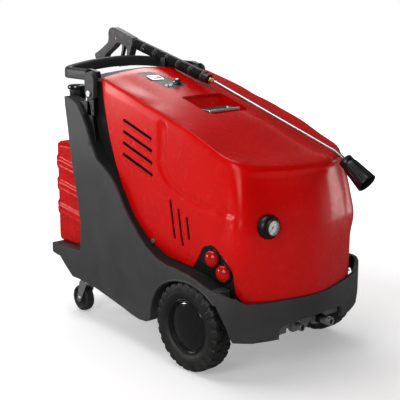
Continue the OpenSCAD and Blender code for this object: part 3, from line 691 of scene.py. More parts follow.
# Raised lip along the lower side of every louvre
c, s = cos(radians(LOUVRE_TILT)), sin(radians(LOUVRE_TILT))
lips = []
for side, _ in SIDES:
    for y, z, l in LOUVRES:
        path = []
        for k in range(13):
            u, v = -l + 6 + (l - 12) * k / 12, -9.4
            yy, zz = y + u * c - v * s, z + u * s + v * c
            path.append(P(side * (side_x(yy, zz) - 1.9), yy, zz))
        lips.append(tube(path, 4.4, 12))
piece("louvre_lips", *merge(*lips), "red_shell")

# Painted shade: black sheets behind the openings stand in for the shade inside the hood, so that nothing bright shows
# through them
shade_sheets = []
for side, _ in SIDES:
    shade_sheets.append(across(rounded([(-40, 630), (150, 650), (150, 800), (-40, 760)], 8), side * 240, side * 243))
    shade_sheets.append(across(rounded([(-235, 370), (-60, 370), (-60, 560), (-235, 540)], 8), side * 262, side * 265))
piece("vent_painted_shade", *merge(*shade_sheets), "matt_black", slot="black_plastic")

# Flue tray: sloping floor and four walls, all in the hood's colour
dress(nodes["flue_tray"], "red_shell", 0.6 * MM)

# ---- chassis

# Centre of a drive wheel: out from the middle, along the machine and up
WHEEL_X, WHEEL_Y, WHEEL_Z = 297, -257, 150
PLAN = [(0, -526), (75, -517), (140, -502), (196, -486), (244, -471), (285, -456), (312, -440), (326, -420),
        (332, -400), (333, -370), (333.5, -300), (333.5, -220), (333, -150), (327, -90), (312, 5), (300, 150),
        (290, 300), (284, 460), (280, 560), (272, 580)]
PLAN_X = [(y, x) for x, y in PLAN if y >= -440]


def arch_line(ry, rz, degrees):
    """Points of the wheel arch, an ellipse about the wheel's axis, as (y, z)."""
    return [(WHEEL_Y + ry * cos(radians(a)), WHEEL_Z + rz * sin(radians(a))) for a in degrees]


ARCH = arch_line(187, 156, range(0, 181, 5))
FENDER_TOP = [(-400, 298), (-368, 300), (-331, 310), (-304, 319), (-265, 328), (-237, 330), (-197, 336),
              (-163, 337), (-127, 343), (-93, 351), (-56, 366), (-35, 373), (0, 397), (33, 424), (62, 450),
              (90, 480), (118, 520), (150, 556), (185, 584), (222, 604), (259, 624), (294, 671), (329, 731),
              (358, 772), (388, 808), (424, 822), (466, 829)]


def fender_outline():
    """Outer face of a side moulding: fender with its wheel arch, and the column, as (y, z)."""
    back = [(464, 800), (448, 732), (410, 566), (386, 470), (370, 378), (374, 310), (381, 262)]
    shelf = [(480, 261), (575, 259), (575, 224), (516, 218), (476, 186), (437, 158), (312, 152), (200, 134),
             (100, 118), (50, 108), (5, 104), (-40, 110), (-68, 122)]
    arch = [(y, z) for y, z in ARCH if -399 < y and z > 122]
    arch = sorted(arch, key=lambda p: -p[0])
    return FENDER_TOP + back + shelf + arch + [(-400, 252)]


def plan_x(y):
    return eased(PLAN_X, y)


def column_lean(z):
    """How far the top of the column leans in."""
    return 8 * smoothstep(560, 830, z)


def side_piece(name, side, node):
    """Fender and column of one side, with black painted-shade strips along its gap to the hood, brackets and inner
    wall.
    """
    def place(y, z, w):
        # The outer face leans in at the column's top
        x = plan_x(y) - w
        return P(side * (x - column_lean(z) if w < 1 else x), y, z)

    def slab(part, outline, x0, x1, material, bevel=0.0, angle=35):
        ob = piece(name + part, *across(outline, side * x0, side * x1), material, slot="grey_moulding", angle=angle)
        if bevel:
            dress(ob, material, bevel * MM)

    soften(piece(name, *skin(fender_outline(), place, 0, 62, 14), "grey_moulding", stands_for=node), 4.5 * MM, 4)
    # Inner wall: bracket, column back and wheel well, coloured black as painted shade for the recess behind the hood's
    # edge
    slab("_well_painted_shade", [(-400, 300), (-440, 262), (-400, 262)] + [(y, z - 4) for y, z in FENDER_TOP[1:17]] +
         [(176, 570), (222, 596), (276, 590), (283, 600), (300, 690), (326, 812), (332, 822), (440, 812),
          (448, 790), (408, 566), (369, 378), (381, 261), (575, 259), (575, 224), (516, 218), (437, 158),
          (312, 152), (100, 118), (5, 104), (-40, 110), (-75, 124), (-400, 200)], 252, 262, "black_plastic", 2)
    # Painted shade: a black sheet between the hood's rear edge and the column, where the gap lies in shade
    slab("_seal", [(96, 480), (150, 560), (180, 620), (210, 690), (234, 764), (254, 832), (268, 886), (275, 905),
                   (330, 905), (340, 800), (300, 600), (250, 560), (180, 500)], 236, 240, "matt_black", angle=30)
    slab("_bracket", rounded([(298, 838), (308, 828), (338, 828), (350, 842), (352, 908), (344, 922), (322, 927),
                              (302, 916), (296, 896)], 7), 251, 268, "handle_plastic", 2.5)
    slab("_bracket_foot", rounded([(304, 770), (348, 770), (346, 846), (306, 846)], 5), 251, 262, "black_plastic", 2)
    # Painted shade: a black strip on the moulding's top, inside its outer lip, where the gap under the hood lies in
    # shade
    path = [(y, z) for y, z in FENDER_TOP if y > -396 and z < 800]
    strips = []
    for i, (y, z) in enumerate(path):
        d = (Vector(path[min(i + 1, len(path) - 1)]) - Vector(path[max(i - 1, 0)])).normalized()
        strips.append([P(side * (plan_x(y + h * -d.y) - w - column_lean(z)), y - h * d.y, z + h * d.x)
                       for w, h in ((9, 0.9), (60, 0.9), (60, -1.5), (9, -1.5))])
    piece(name + "_edge_seal", *loft(strips), "matt_black", slot="grey_moulding", angle=40)
    # Raised lip round the wheel arch
    lip = [P(side * (plan_x(y) - 1.5), y, z) for y, z in arch_line(185, 154, range(8, 139, 4))]
    piece(name + "_arch_lip", *tube(lip, 4.2, 12), "grey_moulding")


for side, hand in SIDES:
    side_piece("fender_" + hand, side, "side_panel_" + hand)

# Bumper: its face is drawn on the length along the chassis plan
BUMPER_PLAN = [(x, y) for x, y in PLAN if y <= -400]
bump_curve = spline([(-x, y) for x, y in reversed(BUMPER_PLAN[1:])] + BUMPER_PLAN, 161)
bump_run = running(bump_curve)
bump_mid = bump_run[-1] / 2


def on_bumper(u, depth):
    """Plan point at length u from the middle, set back by depth along the normal."""
    s = min(max(u + bump_mid, 0), bump_run[-1] - 1e-6)
    for i in range(len(bump_run) - 1):
        if s <= bump_run[i + 1]:
            p = bump_curve[i].lerp(bump_curve[i + 1], (s - bump_run[i]) / (bump_run[i + 1] - bump_run[i]))
            d = (bump_curve[min(160, i + 3)] - bump_curve[max(0, i - 2)]).normalized()
            return p + Vector((-d.y, d.x)) * depth
    return bump_curve[-1]


def run_at(x):
    """Length along the bumper from the middle to the plan point at x."""
    best = min(range(len(bump_curve)), key=lambda i: abs(bump_curve[i].x - x))
    return bump_run[best] - bump_mid


end = bump_mid - 0.4
arch_z = WHEEL_Z + 156 * sqrt(max(0, 1 - ((-400 - WHEEL_Y) / 187) ** 2))
half_top = [(0, 257), (run_at(200), 258), (run_at(262), 261), (run_at(290), 280), (run_at(315), 288),
            (end - 20, 296), (end, 298)]
half_low = [(end, arch_z), (end - 16, 226), (end - 34, 190), (end - 44, 160), (run_at(302), 140), (run_at(240), 129),
            (run_at(190), 128)]
recess = [(run_at(170), 128), (run_at(170), 156), (run_at(162), 170), (run_at(140), 176), (45, 186), (-50, 184),
          (-138, 172), (-150, 160), (-150, 128)]
outline = (half_top + half_low + recess + [(-u, z) for u, z in reversed(half_low)]
           + [(-u, z) for u, z in reversed(half_top[1:])])
bumper = piece("front_bumper", *skin(
    outline, lambda u, v, w: P(*(on_bumper(u, w + 5 * smoothstep(205, 130, v) ** 2)), v), 0, 12, 12),
    "grey_moulding", stands_for="bumper")
soften(bumper, 4 * MM, 4)

# ---- handle and top cross

bar = spline([(-251, 345, 0), (-251, 390, 0), (-251, 430, 0), (-250.5, 456, 0), (-246, 473, 0), (-234, 483.5, 0),
              (-214, 486.6, 0), (-150, 487, 0), (-75, 487, 0), (0, 487, 0)], 48)
bar = [Vector(p) for p in bar] + [Vector((-p.x, p.y, 0)) for p in reversed(bar[:-1])]


def handle_ring(i):
    p = bar[i]
    d = (bar[min(len(bar) - 1, i + 1)] - bar[max(0, i - 1)]).normalized()
    n = Vector((-d.y, d.x, 0))
    top = 958 - 29 * (p.x / 264) ** 2
    section = rounded([(-15, top - 38), (15, top - 38), (15, top), (-15, top)], [5, 5, 11, 11], 5)
    return [P(p.x + n.x * u, p.y + n.y * u, v) for u, v in section]


pads = [across(rounded([(305, 832), (353, 832), (353, 926), (305, 926)], 8), s * 240, s * 251.5) for s in (-1, 1)]
piece("handle_loop", *merge(loft([handle_ring(i) for i in range(len(bar))]), *pads), "handle_plastic",
      stands_for="push_handle", angle=50)
# Moulded ends of the loop, over the brackets
for side, hand in SIDES:
    block = across(rounded([(296, 884), (372, 884), (372, 931), (350, 934), (300, 926)], 8), side * 231, side * 250)
    ob = piece("handle_end_" + hand, *block, "black_plastic", slot="handle_plastic")
    dress(ob, "black_plastic", 3 * MM)

# ---- rear tank

tank_low, tank_top = 262, 645
RIDGES = (380, 469, 555)
TANK_CORE = rounded([(-243, 362), (243, 362), (243, 590), (-243, 590)], 44, 8)


def tank_ring(z):
    """Rounded rectangle with three ridges that climb to the back."""
    pts = []
    for p in spline([(a, b, 0) for a, b in TANK_CORE], 132, closed=True):
        grow = 0.0
        for ridge in RIDGES:
            away = abs(z - (ridge + 0.16 * (p.y - 500)))
            grow += 6 * smoothstep(26, 14, away)
            grow -= 2.2 * smoothstep(6, 1, away)
        shrink = 12 * smoothstep(tank_top - 16, tank_top, z) ** 2 + 12 * smoothstep(tank_low + 14, tank_low, z) ** 2
        if abs(p.x) < 199:
            n = Vector((0, 1 if p.y > 476 else -1))
        elif 406 < p.y < 546:
            n = Vector((1 if p.x > 0 else -1, 0))
        else:
            n = (Vector((p.x, p.y)) - Vector((199 if p.x > 0 else -199, 546 if p.y > 476 else 406))).normalized()
        q = Vector((p.x, p.y)) + n * (grow - shrink)
        pts.append(P(q.x, q.y, z))
    return pts


levels = {262, 263, 266, 270, 276, 629, 633, 638, 641, 643.5, 645} | {280 + 4 * i for i in range(87)}
piece("tank_body", *loft([tank_ring(z) for z in sorted(levels)]), "red_tank", stands_for="rear_tank", angle=55)

neck = P(-206, 478, 0)
piece("neck_tube", *lathe([(22, 640), (22, 650), (30, 651), (30, 646), (22, 645), (22, 700), (23, 702), (23, 706),
                           (22, 708), (22, 826), (20.5, 830), (19, 828), (19, 640)], neck, Z_AXIS, 48),
      "black_plastic", stands_for="filler_neck")
cap_low = lathe([(24, 806), (29, 806), (30, 808), (30, 846), (29, 850)], neck, Z_AXIS, 96,
                lambda a, t: 1 - 0.05 * (0.5 - 0.5 * cos(a * 24)) ** 3)
cap_top = lathe([(28, 848), (34.5, 849), (36, 851), (36, 858), (35, 861.5), (32, 863.5), (26, 864), (25, 862.6),
                 (10, 862.6), (9, 864), (0.01, 864)], neck, Z_AXIS, 96)
piece("cap_skirt", *cap_low, "black_plastic", body="cap", angle=60)
piece("cap_lid", *cap_top, "gloss_black", body="cap", slot="black_plastic", stands_for="fuel_cap", angle=40)

# ---- wheels

# Pairs of lugs round the tyre, and how far a lug stands out at the shoulder and in the middle
PITCHES = 26
LUG, MIDDLE_LUG = 4.9, 4.6


def tread(shift):
    """Height of a row's lug at a fraction of its pitch."""
    def h(f):
        f = (f + shift) % 1
        return smoothstep(0.0, 0.07, f) - smoothstep(0.62, 0.69, f)
    return h


def tyre_mesh(origin, axis):
    """Carcass with stepped blocks on both shoulders and round the tread."""
    m = axis_frame(origin, axis)
    # Carcass as (radius, distance, share of a shoulder lug there, share of a middle lug). The sign of the
    # shoulder's share picks its row.
    prof = [(92, 30, 0, 0), (98, 35.5, 0, 0), (104, 38, 0, 0), (112, 38.6, 0, 0), (118, 38.8, 0, 0), (120, 38.0, 0, 0),
            (121, 38.0, 1, 0), (128, 37.0, 1, 0), (133, 35.5, 1, 0), (138, 33.5, 1, 0), (141, 31, 1, 0),
            (143.5, 27, 1, 0), (144.6, 22, 1, 0), (144.9, 14, 1, 0), (145, 9, 1, 0), (145, 7.5, 0.15, 0.15),
            (145, 6, 0, 1), (145, 0, 0, 1), (145, -6, 0, 1), (145, -7.5, 0.15, 0.15),
            (145, -9, -1, 0), (144.9, -14, -1, 0), (144.6, -22, -1, 0), (143.5, -27, -1, 0), (141, -31, -1, 0),
            (138, -33.5, -1, 0), (133, -35.5, -1, 0), (128, -37, -1, 0), (121, -38, -1, 0), (120, -38, 0, 0),
            (118, -38.8, 0, 0), (104, -38, 0, 0), (98, -35.5, 0, 0), (92, -30, 0, 0)]
    edges = (0, 0.035, 0.07, 0.3, 0.62, 0.655, 0.69)
    cuts = sorted({round(f, 3) for f in edges + (0.5, 0.85)} | {round((f + 0.5) % 1, 3) for f in edges})
    rows = {1: tread(0.0), -1: tread(0.5)}
    middle = tread(0.25)
    rings = []
    for r, t, outer, mid in prof:
        # Blocks on the side stand out sideways, those on the tread outwards
        k = smoothstep(120, 143, r)
        ring = []
        for p in range(PITCHES):
            # The step of the shoulder: alternate lugs reach further down the side
            reach = 1.0 if (p % 2 == 0 or r > 127) else 0.15
            for f in cuts:
                a = 2 * pi * (p + f) / PITCHES
                h = LUG * abs(outer) * rows[1 if outer > 0 else -1](f) * reach if outer else 0.0
                if mid:
                    h = max(h, MIDDLE_LUG * mid * middle(f))
                rr, tt = r + h * k, t
                if r <= 141 and outer:
                    tt = t + (1 if t > 0 else -1) * min(h, LUG) * (1 - k) * 0.2
                ring.append(m @ (Vector((rr * cos(a), rr * sin(a), tt)) * MM))
        rings.append(ring)
    v, f = loft(rings, caps=False)
    n = len(rings[0])
    last = (len(rings) - 1) * n
    f += [(j, last + j, last + (j + 1) % n, (j + 1) % n) for j in range(n)]
    return v, f


def wheel(side, name):
    """Tyre, rim and hub cap of one drive wheel."""
    body = "wheel_" + name
    at = P(side * WHEEL_X, WHEEL_Y, WHEEL_Z)
    axis = (side, 0, 0)
    piece("tread_" + name, *tyre_mesh(at, axis), "tyre_rubber", body=body, stands_for="tyre_" + name, angle=38)
    band = [(90.5, -30), (92, -30), (92, 30), (90.5, 30.5), (88.5, 30), (87.5, 27), (86.5, 24.5), (85.5, 24),
            (84.6, 25.8), (83.6, 26.2), (82.6, 25.6), (81.5, 21), (79, 14), (72, 9), (60, 8.2), (40, 8), (26, 9),
            (26, 25), (10.05, 25), (10.05, -35), (26, -35), (26, 2), (80, 2), (84, -2), (84, -30)]
    piece("rim_dish_" + name, *closed_lathe(band, at, axis, 96), "rim_black", body=body, stands_for="rim_" + name,
          angle=30)
    # The cap's face is part of a ball
    ball = 210
    dome = [(0.01, 38.9)] + [(ball * cos(radians(a)), 39 - ball + ball * sin(radians(a)))
                             for a in (88, 86, 84, 82, 80, 78, 76, 74, 72, 70, 69)]
    dome += [(77.5, 24.5), (78.6, 23.6), (79.6, 23.2), (80.4, 22.4), (80.6, 21), (74, 20), (40, 27), (0.01, 34)]
    piece("dome_" + name, *lathe(dome, at, axis, 96), "gloss_black", body=body, stands_for="hub_cap_" + name,
          angle=45)


for side, hand in SIDES:
    wheel(side, hand)

# A castor's wheel in section, as (radius, distance): even about its middle but for the axle's bore
half = [(14.5, 17.4), (16, 16), (16, 11.5), (34, 11), (36, 13), (36, 15), (38, 16.4), (44, 16.2), (47.5, 14),
        (49.5, 9), (50, 3)]
roller = [(14, 17)] + half + [(r, -t) for r, t in reversed(half)] + [(5.05, -17), (5.05, 17)]
for side, hand in SIDES:
    piece("castor_tyre_" + hand, *closed_lathe(roller, P(side * 211, 467, 50), X_AXIS, 80), "castor_rubber",
          body="castor_roller_" + hand, stands_for="castor_wheel_" + hand, angle=30)

# ---- gun and lance

TILT = radians(14.3)
# Where the sleeve meets the gun, the lance's bend and the far end of its line
GUN_AT = (84, 499, 1000.5)
bend = Vector((148, -474, 689))
tip = Vector((158, -600, 594))
SLEEVE_END = -469
gun_dir = Vector((0, cos(TILT), sin(TILT)))


def G(x, y, z):
    """A point in the gun's own frame: y runs back along the sleeve."""
    gx, gy, gz = GUN_AT
    return P(gx + x, gy + y * cos(TILT) - z * sin(TILT), gz + y * sin(TILT) + z * cos(TILT))


def gun_slab(outline, x0, x1):
    return prism(outline, lambda u, v, x: G(x, u, v), x0, x1)


def gun_lathe(profile, count, wave=None):
    """Revolved about the sleeve's axis."""
    return lathe(profile, G(0, 0, 0), gun_dir, count, wave)


def gun_piece(name, mesh, material, slot="black_plastic", stands_for=(), angle=35, body="gun"):
    return piece(name, *mesh, material, body=body, slot=slot, stands_for=stands_for, angle=angle)


GRIP = [(0, -17), (0, 17), (8, 20), (60, 23), (118, 25.5), (136, 24), (150, 15), (155, 3), (154, -8), (148, -24),
        (150, -42), (170, -63), (200, -93), (219, -108), (222, -116), (214, -126), (204, -129), (140, -121),
        (70, -115), (36, -104), (20, -86), (7, -60)]
HOLE = [(38, -23), (88, -25), (97, -30), (106, -46), (148, -90), (156, -101), (150, -109), (138, -111), (76, -105),
        (46, -94), (34, -80), (24, -57), (26, -34)]
gun = gun_piece("gun_shell", gun_slab(rounded(GRIP, 12, 4), -15, 15), "handle_plastic", "grey_moulding", "gun_body")
cut(gun, [gun_slab(rounded(HOLE, 8, 3), -30, 30), gun_slab([(44, -40), (80, -40), (80, -6), (44, -6)], -8, 8)])
dress(gun, "handle_plastic", 4.5 * MM, 4)
# Four case screws
screws = [lathe([(3.6, -16.2), (3.6, -15.2), (2.2, -15.0), (2.2, -15.6)], G(0, y, z), X_AXIS, 16)
          for y, z in ((16, 4), (120, 12), (190, -108), (52, -108))]
gun_piece("gun_screws", merge(*screws), "painted_steel", "painted_steel")

gun_piece("sleeve_core", gun_lathe([(6, 0), (17.2, 0), (17.4, -12), (17.4, -433), (14, -435.5), (6, -435.5)], 40),
          "black_plastic", stands_for="lance_sleeve")
# Six ribbed pads with a ring after each
PAD_PITCH, PAD_RIBS = 68, 9
pads, bands = [], []
for i in range(6):
    a, b = -PAD_PITCH * i - 6, -PAD_PITCH * (i + 1) + 10
    prof = [(17, a), (18.8, a - 1.2)]
    for j in range(PAD_RIBS):
        y0 = a - 3 + (b - a + 6) * j / PAD_RIBS
        y1 = a - 3 + (b - a + 6) * (j + 1) / PAD_RIBS
        prof += [(19.3, y0 - 0.4), (19.3, y0 * 0.3 + y1 * 0.7), (17.6, y0 * 0.22 + y1 * 0.78),
                 (17.6, y0 * 0.05 + y1 * 0.95)]
    prof += [(18.8, b + 1.2), (17, b)]
    pads.append(gun_lathe(prof, 48, lambda ang, t: 1 - 0.05 * (cos(ang * 10) > 0.75)))
    bands.append(gun_lathe([(17, b), (19.4, b - 0.5), (20, b - 1.6), (20, b - 8.4), (19.4, b - 9.5), (17, b - 10)],
                           40))
gun_piece("sleeve_pads", merge(*pads), "matt_black", angle=25)
gun_piece("sleeve_rings", merge(*bands), "handle_plastic", angle=30)
ridge = prism(rounded([(-7, 16), (7, 16), (6, 20.6), (-6, 20.6)], 1.8, 3), lambda u, v, w: G(u, w, v), -412, -8)
gun_piece("sleeve_ridge", ridge, "handle_plastic", angle=40)

nut = gun_lathe([(6, -432), (9.5, -433), (10, -434), (10, -444), (9, -445), (6, -445)], 40)
hexa = hexagon(lambda u, v, y: G(u, y, v), ((-445, 10.2), (-446, 11.2), (-459, 11.2), (-460, 10.2)))
dress(gun_piece("nut_hex", merge(nut, hexa), "brass", "brass", "lance_nut"), "brass", 0.6 * MM)

# The pipe: straight out of the nut, on to the bend, round it and into the nozzle guard
gx, gy, gz = GUN_AT
nut_end = Vector((gx, gy + SLEEVE_END * cos(TILT), gz + SLEEVE_END * sin(TILT)))
d_in, d_out = (bend - nut_end).normalized(), (tip - bend).normalized()
BEND_REACH = 26
into, onward = bend - d_in * BEND_REACH, bend + d_out * BEND_REACH
line = [G(0, y, 0) for y in (0, -200, -400, -456)]
line += [P(*nut_end.lerp(nut_end + gun_dir * 11, 0.6)), P(*(nut_end + d_in * 4))]
line += [P(*(nut_end + (into - nut_end) * k / 8)) for k in range(1, 8)]
for k in range(9):
    t = k / 8
    line.append(P(*((1 - t) ** 2 * into + 2 * t * (1 - t) * bend + t * t * onward)))
line.append(P(*(bend + d_out * 62)))
gun_piece("lance_pipe", tube(line, 6, 20, up=Vector((1, 0, 0.3))), "stainless", "stainless", "lance_tube", 60)

guard_prof = [(6.1, 28), (20, 28), (23.2, 29.4), (24, 32), (24, 46), (23.4, 48.2), (22.6, 49.4), (24, 51), (26, 55),
              (27, 60), (28.8, 78), (31, 100), (33.4, 122), (34.6, 133), (35, 135), (35, 139), (34, 140),
              (31.5, 140), (30.2, 138), (28, 124), (24, 96), (20, 64), (12, 58), (6.1, 58)]


def ribs(a, t):
    return 1 - (0.055 * (cos(a * 14) > 0.35) if 61 < t < 133 else 0)


gun_piece("guard_horn", closed_lathe(guard_prof, P(*bend), d_out, 112, ribs), "black_plastic",
          stands_for="nozzle_guard", angle=30, body="nozzle")

# Trigger with a rounded face
blade = gun_slab(rounded([(55, -22), (56, -9), (68, -9), (72, -22), (67, -36), (66, -52), (70, -72), (80, -90),
                          (77, -96), (70, -95), (60, -78), (56, -52), (54, -36)], 4, 3), -7.4, 7.4)
dress(gun_piece("trigger_blade", blade, "black_plastic", stands_for="gun_trigger", body="trigger"),
      "black_plastic", 2 * MM)
gun_piece("trigger_pin", lathe([(3, -14.5), (3, 14.5)], G(0, 62, -15), X_AXIS, 24), "zinc_steel", "zinc_steel",
          body="trigger")

# ---- gauge

gauge_x, gauge_y, gauge_z = GAUGE


def gauge_lathe(profile, count):
    return lathe(profile, P(*GAUGE), Y_AXIS, count)


def on_dial(outline, y0, y1):
    """Flat shape before the dial, drawn about its middle."""
    return prism(outline, lambda u, v, y: P(gauge_x + u, gauge_y + y, gauge_z + v), y0, y1)


case = [(0.01, -9), (23.2, -9), (23.6, -16), (24, -18), (26, -18.4), (27.4, -17.6), (28, -16), (28, -9), (33, -6),
        (38, 2), (38, 12), (38, 52), (30, 52), (0.01, 52)]
piece("gauge_bezel", *gauge_lathe(case, 96), "black_plastic", stands_for="gauge_case")
dial = gauge_lathe([(0.01, -10.2), (21.6, -10.2), (22.6, -9.8), (22.6, -8.5), (0.01, -8.5)], 72)
piece("dial_plate", *dial, "dial_white", stands_for="gauge_dial", angle=30)


def turned(points, a):
    """Points (r, w), along and across a spoke at angle a."""
    c, s = cos(a), sin(a)
    return [(r * c - w * s, r * s + w * c) for r, w in points]


ticks = []
for i in range(31):
    long_, wide = (4.4, 0.5) if i % 5 == 0 else (2.4, 0.26)
    mark = turned(((19.8, -wide), (19.8, wide), (19.8 - long_, wide), (19.8 - long_, -wide)),
                  radians(225 - 270 * i / 30))
    ticks.append(on_dial(mark, -10.5, -10.1))
piece("dial_ticks", *merge(*ticks), "needle_black", angle=30)
c, s = cos(radians(-135)), sin(radians(-135))
hand_outline = [(u * c + v * s, -u * s + v * c) for u, v in
                ((-0.9, -7), (0.9, -7), (1.1, 0), (0.25, 17.5), (-0.25, 17.5), (-1.1, 0))]
needle = merge(on_dial(hand_outline, -13, -11.9),
               gauge_lathe([(0.01, -13.6), (2.6, -13.5), (3, -13), (3, -11), (1.5, -10.8), (1.5, 3)], 32))
piece("needle_hand", *needle, "needle_black", body="needle", stands_for="gauge_needle", angle=30)

# ---- knobs and their panel

kp = skin(rounded(grown(KNOB_PANEL, -0.2), 7, 4), lambda y, z, w: P(-(side_x(y, z) - 1.4 - w), y, z), 0, 9, 11)
soften(piece("knob_plate", *kp, "gloss_black", slot="black_plastic", stands_for="knob_panel"), 1.6 * MM)

TURN = radians(3)
knob_out = Vector((-cos(TURN), -sin(TURN), 0))


def red_knob(name, at, body, node):
    """Dome with a fluted rim, over a black seat."""
    prof = [(0.01, -18), (5, -18), (5, 0.6), (25, 0.8), (27, 1.6), (27.2, 3), (27, 8), (25.8, 11), (23, 14),
            (19, 17), (13, 20.2), (7, 22.2), (0.01, 23.2)]
    mesh = lathe(prof, P(*at), knob_out, 96, lambda a, t: 1 - (0.035 * (cos(a * 8) > 0.2) if 1 < t < 12 else 0))
    piece(name, *mesh, "knob_red", body=body, stands_for=node, angle=40)
    ring = closed_lathe([(28.0, 0.2), (30.5, 0.2), (31.2, 1.0), (30.5, 1.9), (28.4, 2.0)], P(*at), knob_out, 72)
    piece(name + "_seat", *ring, "black_plastic", angle=30)


red_knob("knob_upper", (-277, -327, 385), "detergent_dial", "detergent_knob")
red_knob("knob_lower", (-276, -377, 347), "pressure_dial", "pressure_knob")

# ---- control panel

SLOPE = atan((roof_z(0, 236) - roof_z(0, 100)) / 136)
up_roof = Vector((0, -sin(SLOPE), cos(SLOPE)))


def R(cx, cy, u, v, w):
    """Point near (cx, cy) on the roof: u across, v up the slope, w off the surface."""
    base = Vector((cx, cy, roof_z(cx, cy)))
    q = base + Vector((1, 0, 0)) * u + Vector((0, cos(SLOPE), sin(SLOPE))) * v + up_roof * w
    return P(q.x, q.y, q.z)


def roof_slab(outline, at, low, high):
    """Flat shape on the roof about a point, drawn in u and v."""
    return prism(outline, lambda u, v, w: R(*at, u, v, w), low, high)


WINDOW, SWITCH, START, STOP = (-66, 200), (-20, 134), (-50, 129), (-70, 127)
plate = skin(rounded(CONTROL, 9, 5), lambda x, y, w: P(x, y, roof_z(x, y) - 0.4 - w), 0, 8, 9)
ob = piece("control_plate", *plate, "panel_grey", stands_for="control_panel")
holes = [lathe([(r, -30), (r, 30)], R(*at, 0, 0, 0), up_roof, 32)
         for at, r in ((SWITCH, 4.2), (START, 6.2), (STOP, 6.2))]
cut(ob, [roof_slab([(-24.6, -17.6), (24.6, -17.6), (24.6, 17.6), (-24.6, 17.6)], WINDOW, -30, 30)] + holes)
dress(ob, "panel_grey", 0.7 * MM, 2)
frame_out = rounded([(-27, -20), (27, -20), (27, 20), (-27, 20)], 4, 4)
frame_in = rounded([(-22, -15), (22, -15), (22, 15), (-22, 15)], 3, 4)
bezel = [[R(*WINDOW, u, v, w) for u, v in pts]
         for w, pts in ((0.2, frame_out), (1.6, frame_out), (1.6, frame_in), (0.3, frame_in))]
piece("display_bezel", *loft(bezel, caps=False), "gloss_black", slot="black_plastic", angle=30)
glass = roof_slab(rounded([(-23.6, -16.6), (23.6, -16.6), (23.6, 16.6), (-23.6, 16.6)], 2, 3), WINDOW, -2.3, 0.4)
piece("display_glass", *glass, "display", stands_for="display_window", angle=30)
bars = [roof_slab(rounded([(-18 + 8 * i, -9), (-12.5 + 8 * i, -9), (-12.5 + 8 * i, -5 + 3 * i),
                           (-18 + 8 * i, -5 + 3 * i)], 0.8, 2), WINDOW, 0.38, 0.62) for i in range(5)]
piece("display_bars", *merge(*bars), "needle_black", angle=30)

piece("switch_skirt", *lathe([(4, -14), (4, 0.8), (15, 0.9), (16, 1.6), (16, 3.8), (15, 5), (11.4, 5.6), (11, 7),
                              (11, 14.5), (10, 16), (0.01, 16.4)], R(*SWITCH, 0, 0, 0), up_roof, 64,
                             lambda a, t: 1 - (0.08 * (cos(a * 12) > 0.1) if 6 < t < 14 else 0)),
      "gloss_black", body="switch", slot="black_plastic", stands_for="main_switch")
mark = roof_slab([(-0.9, 3), (0.9, 3), (0.9, 10), (-0.9, 10)], SWITCH, 16.1, 16.8)
piece("switch_mark", *mark, "print_white", body="switch", slot="dial_white", angle=30)
ticks = [roof_slab(turned(((18, -0.5), (18, 0.5), (21.5, 0.5), (21.5, -0.5)), radians(210 - 30 * i)),
                   SWITCH, -0.6, 0.25) for i in range(9)]
piece("switch_ticks", *merge(*ticks), "print_white", slot="dial_white", angle=30)
for name, spot, material in (("start", START, "green_plastic"), ("stop", STOP, "knob_red")):
    at = R(*spot, 0, 0, 0)
    piece(name + "_cap", *lathe([(0.01, -14), (7.5, -14), (7.5, -11), (6, -11), (6, 3), (5.4, 3.8), (0.01, 4)], at,
                                up_roof, 40), material, body=name, stands_for=name + "_button", angle=30)
    piece(name + "_cap_ring", *closed_lathe([(6.4, -0.8), (8.6, -0.8), (8.6, 0.9), (8, 1.4), (6.9, 1.4),
                                             (6.4, 0.9)], at, up_roof, 40), "chrome", angle=30)

# ---- flue

outer = rounded([(-68, -88), (68, -88), (68, -28), (-68, -28)], 9, 5)
inner = rounded([(-63, -83), (63, -83), (63, -33), (-63, -33)], 6, 5)
# Each ring lies a fraction of the way from the outer outline to the inner one, at a height
rings = [[P(a[0] + (b[0] - a[0]) * t, a[1] + (b[1] - a[1]) * t, z) for a, b in zip(outer, inner)]
         for t, z in ((0, 640), (0, 804), (0.05, 808), (0.3, 811.2), (0.6, 811.8), (0.9, 809), (1, 804), (1, 640))]
piece("flue_ring", *loft(rings, caps=False), "stainless", stands_for="flue_collar", angle=60)
piece("flue_bar", *tube([P(x, -90, 807) for x in (-66, -40, 0, 40, 66)], 6, 20), "bright_bar", slot="chrome",
      angle=50)

# ---- water fittings


def fitting(name, at, tip_y, r, bore, node):
    """Male plug with a locking groove, a flange and its seat in the bulkhead."""
    x, z = at
    prof = [(bore, -444), (bore, tip_y + 1.2), (bore + 1, tip_y), (r - 1.2, tip_y), (r, tip_y + 1.4),
            (r, tip_y + 7), (r - 1.6, tip_y + 8.2), (r - 1.6, tip_y + 11), (r, tip_y + 12.2), (r, tip_y + 20),
            (r * 0.93, tip_y + 21.5), (r * 0.93, -482), (19, -482), (20, -481), (20, -473), (15, -472), (15, -466),
            (18, -466), (18, -458), (15, -458), (15, -432), (bore, -432)]
    piece(name, *closed_lathe(prof, P(x, 0, z), Y_AXIS, 64), "zinc_steel", stands_for=node, angle=30)


INLET, OUTLET = (-50, 149), (56, 151)
fitting("inlet_coupling", INLET, -510, 13.2, 9, "water_inlet")
fitting("outlet_coupling", OUTLET, -540, 15, 7.5, "pressure_outlet")
lock = hexagon(lambda u, v, y: P(OUTLET[0] + u, y, OUTLET[1] + v),
               ((-500, 17.5), (-498.5, 19), (-486, 19), (-484.5, 17.5)), 30)
piece("outlet_lock", *lock, "black_plastic", angle=30)

# ---- the rest of the CAD nodes

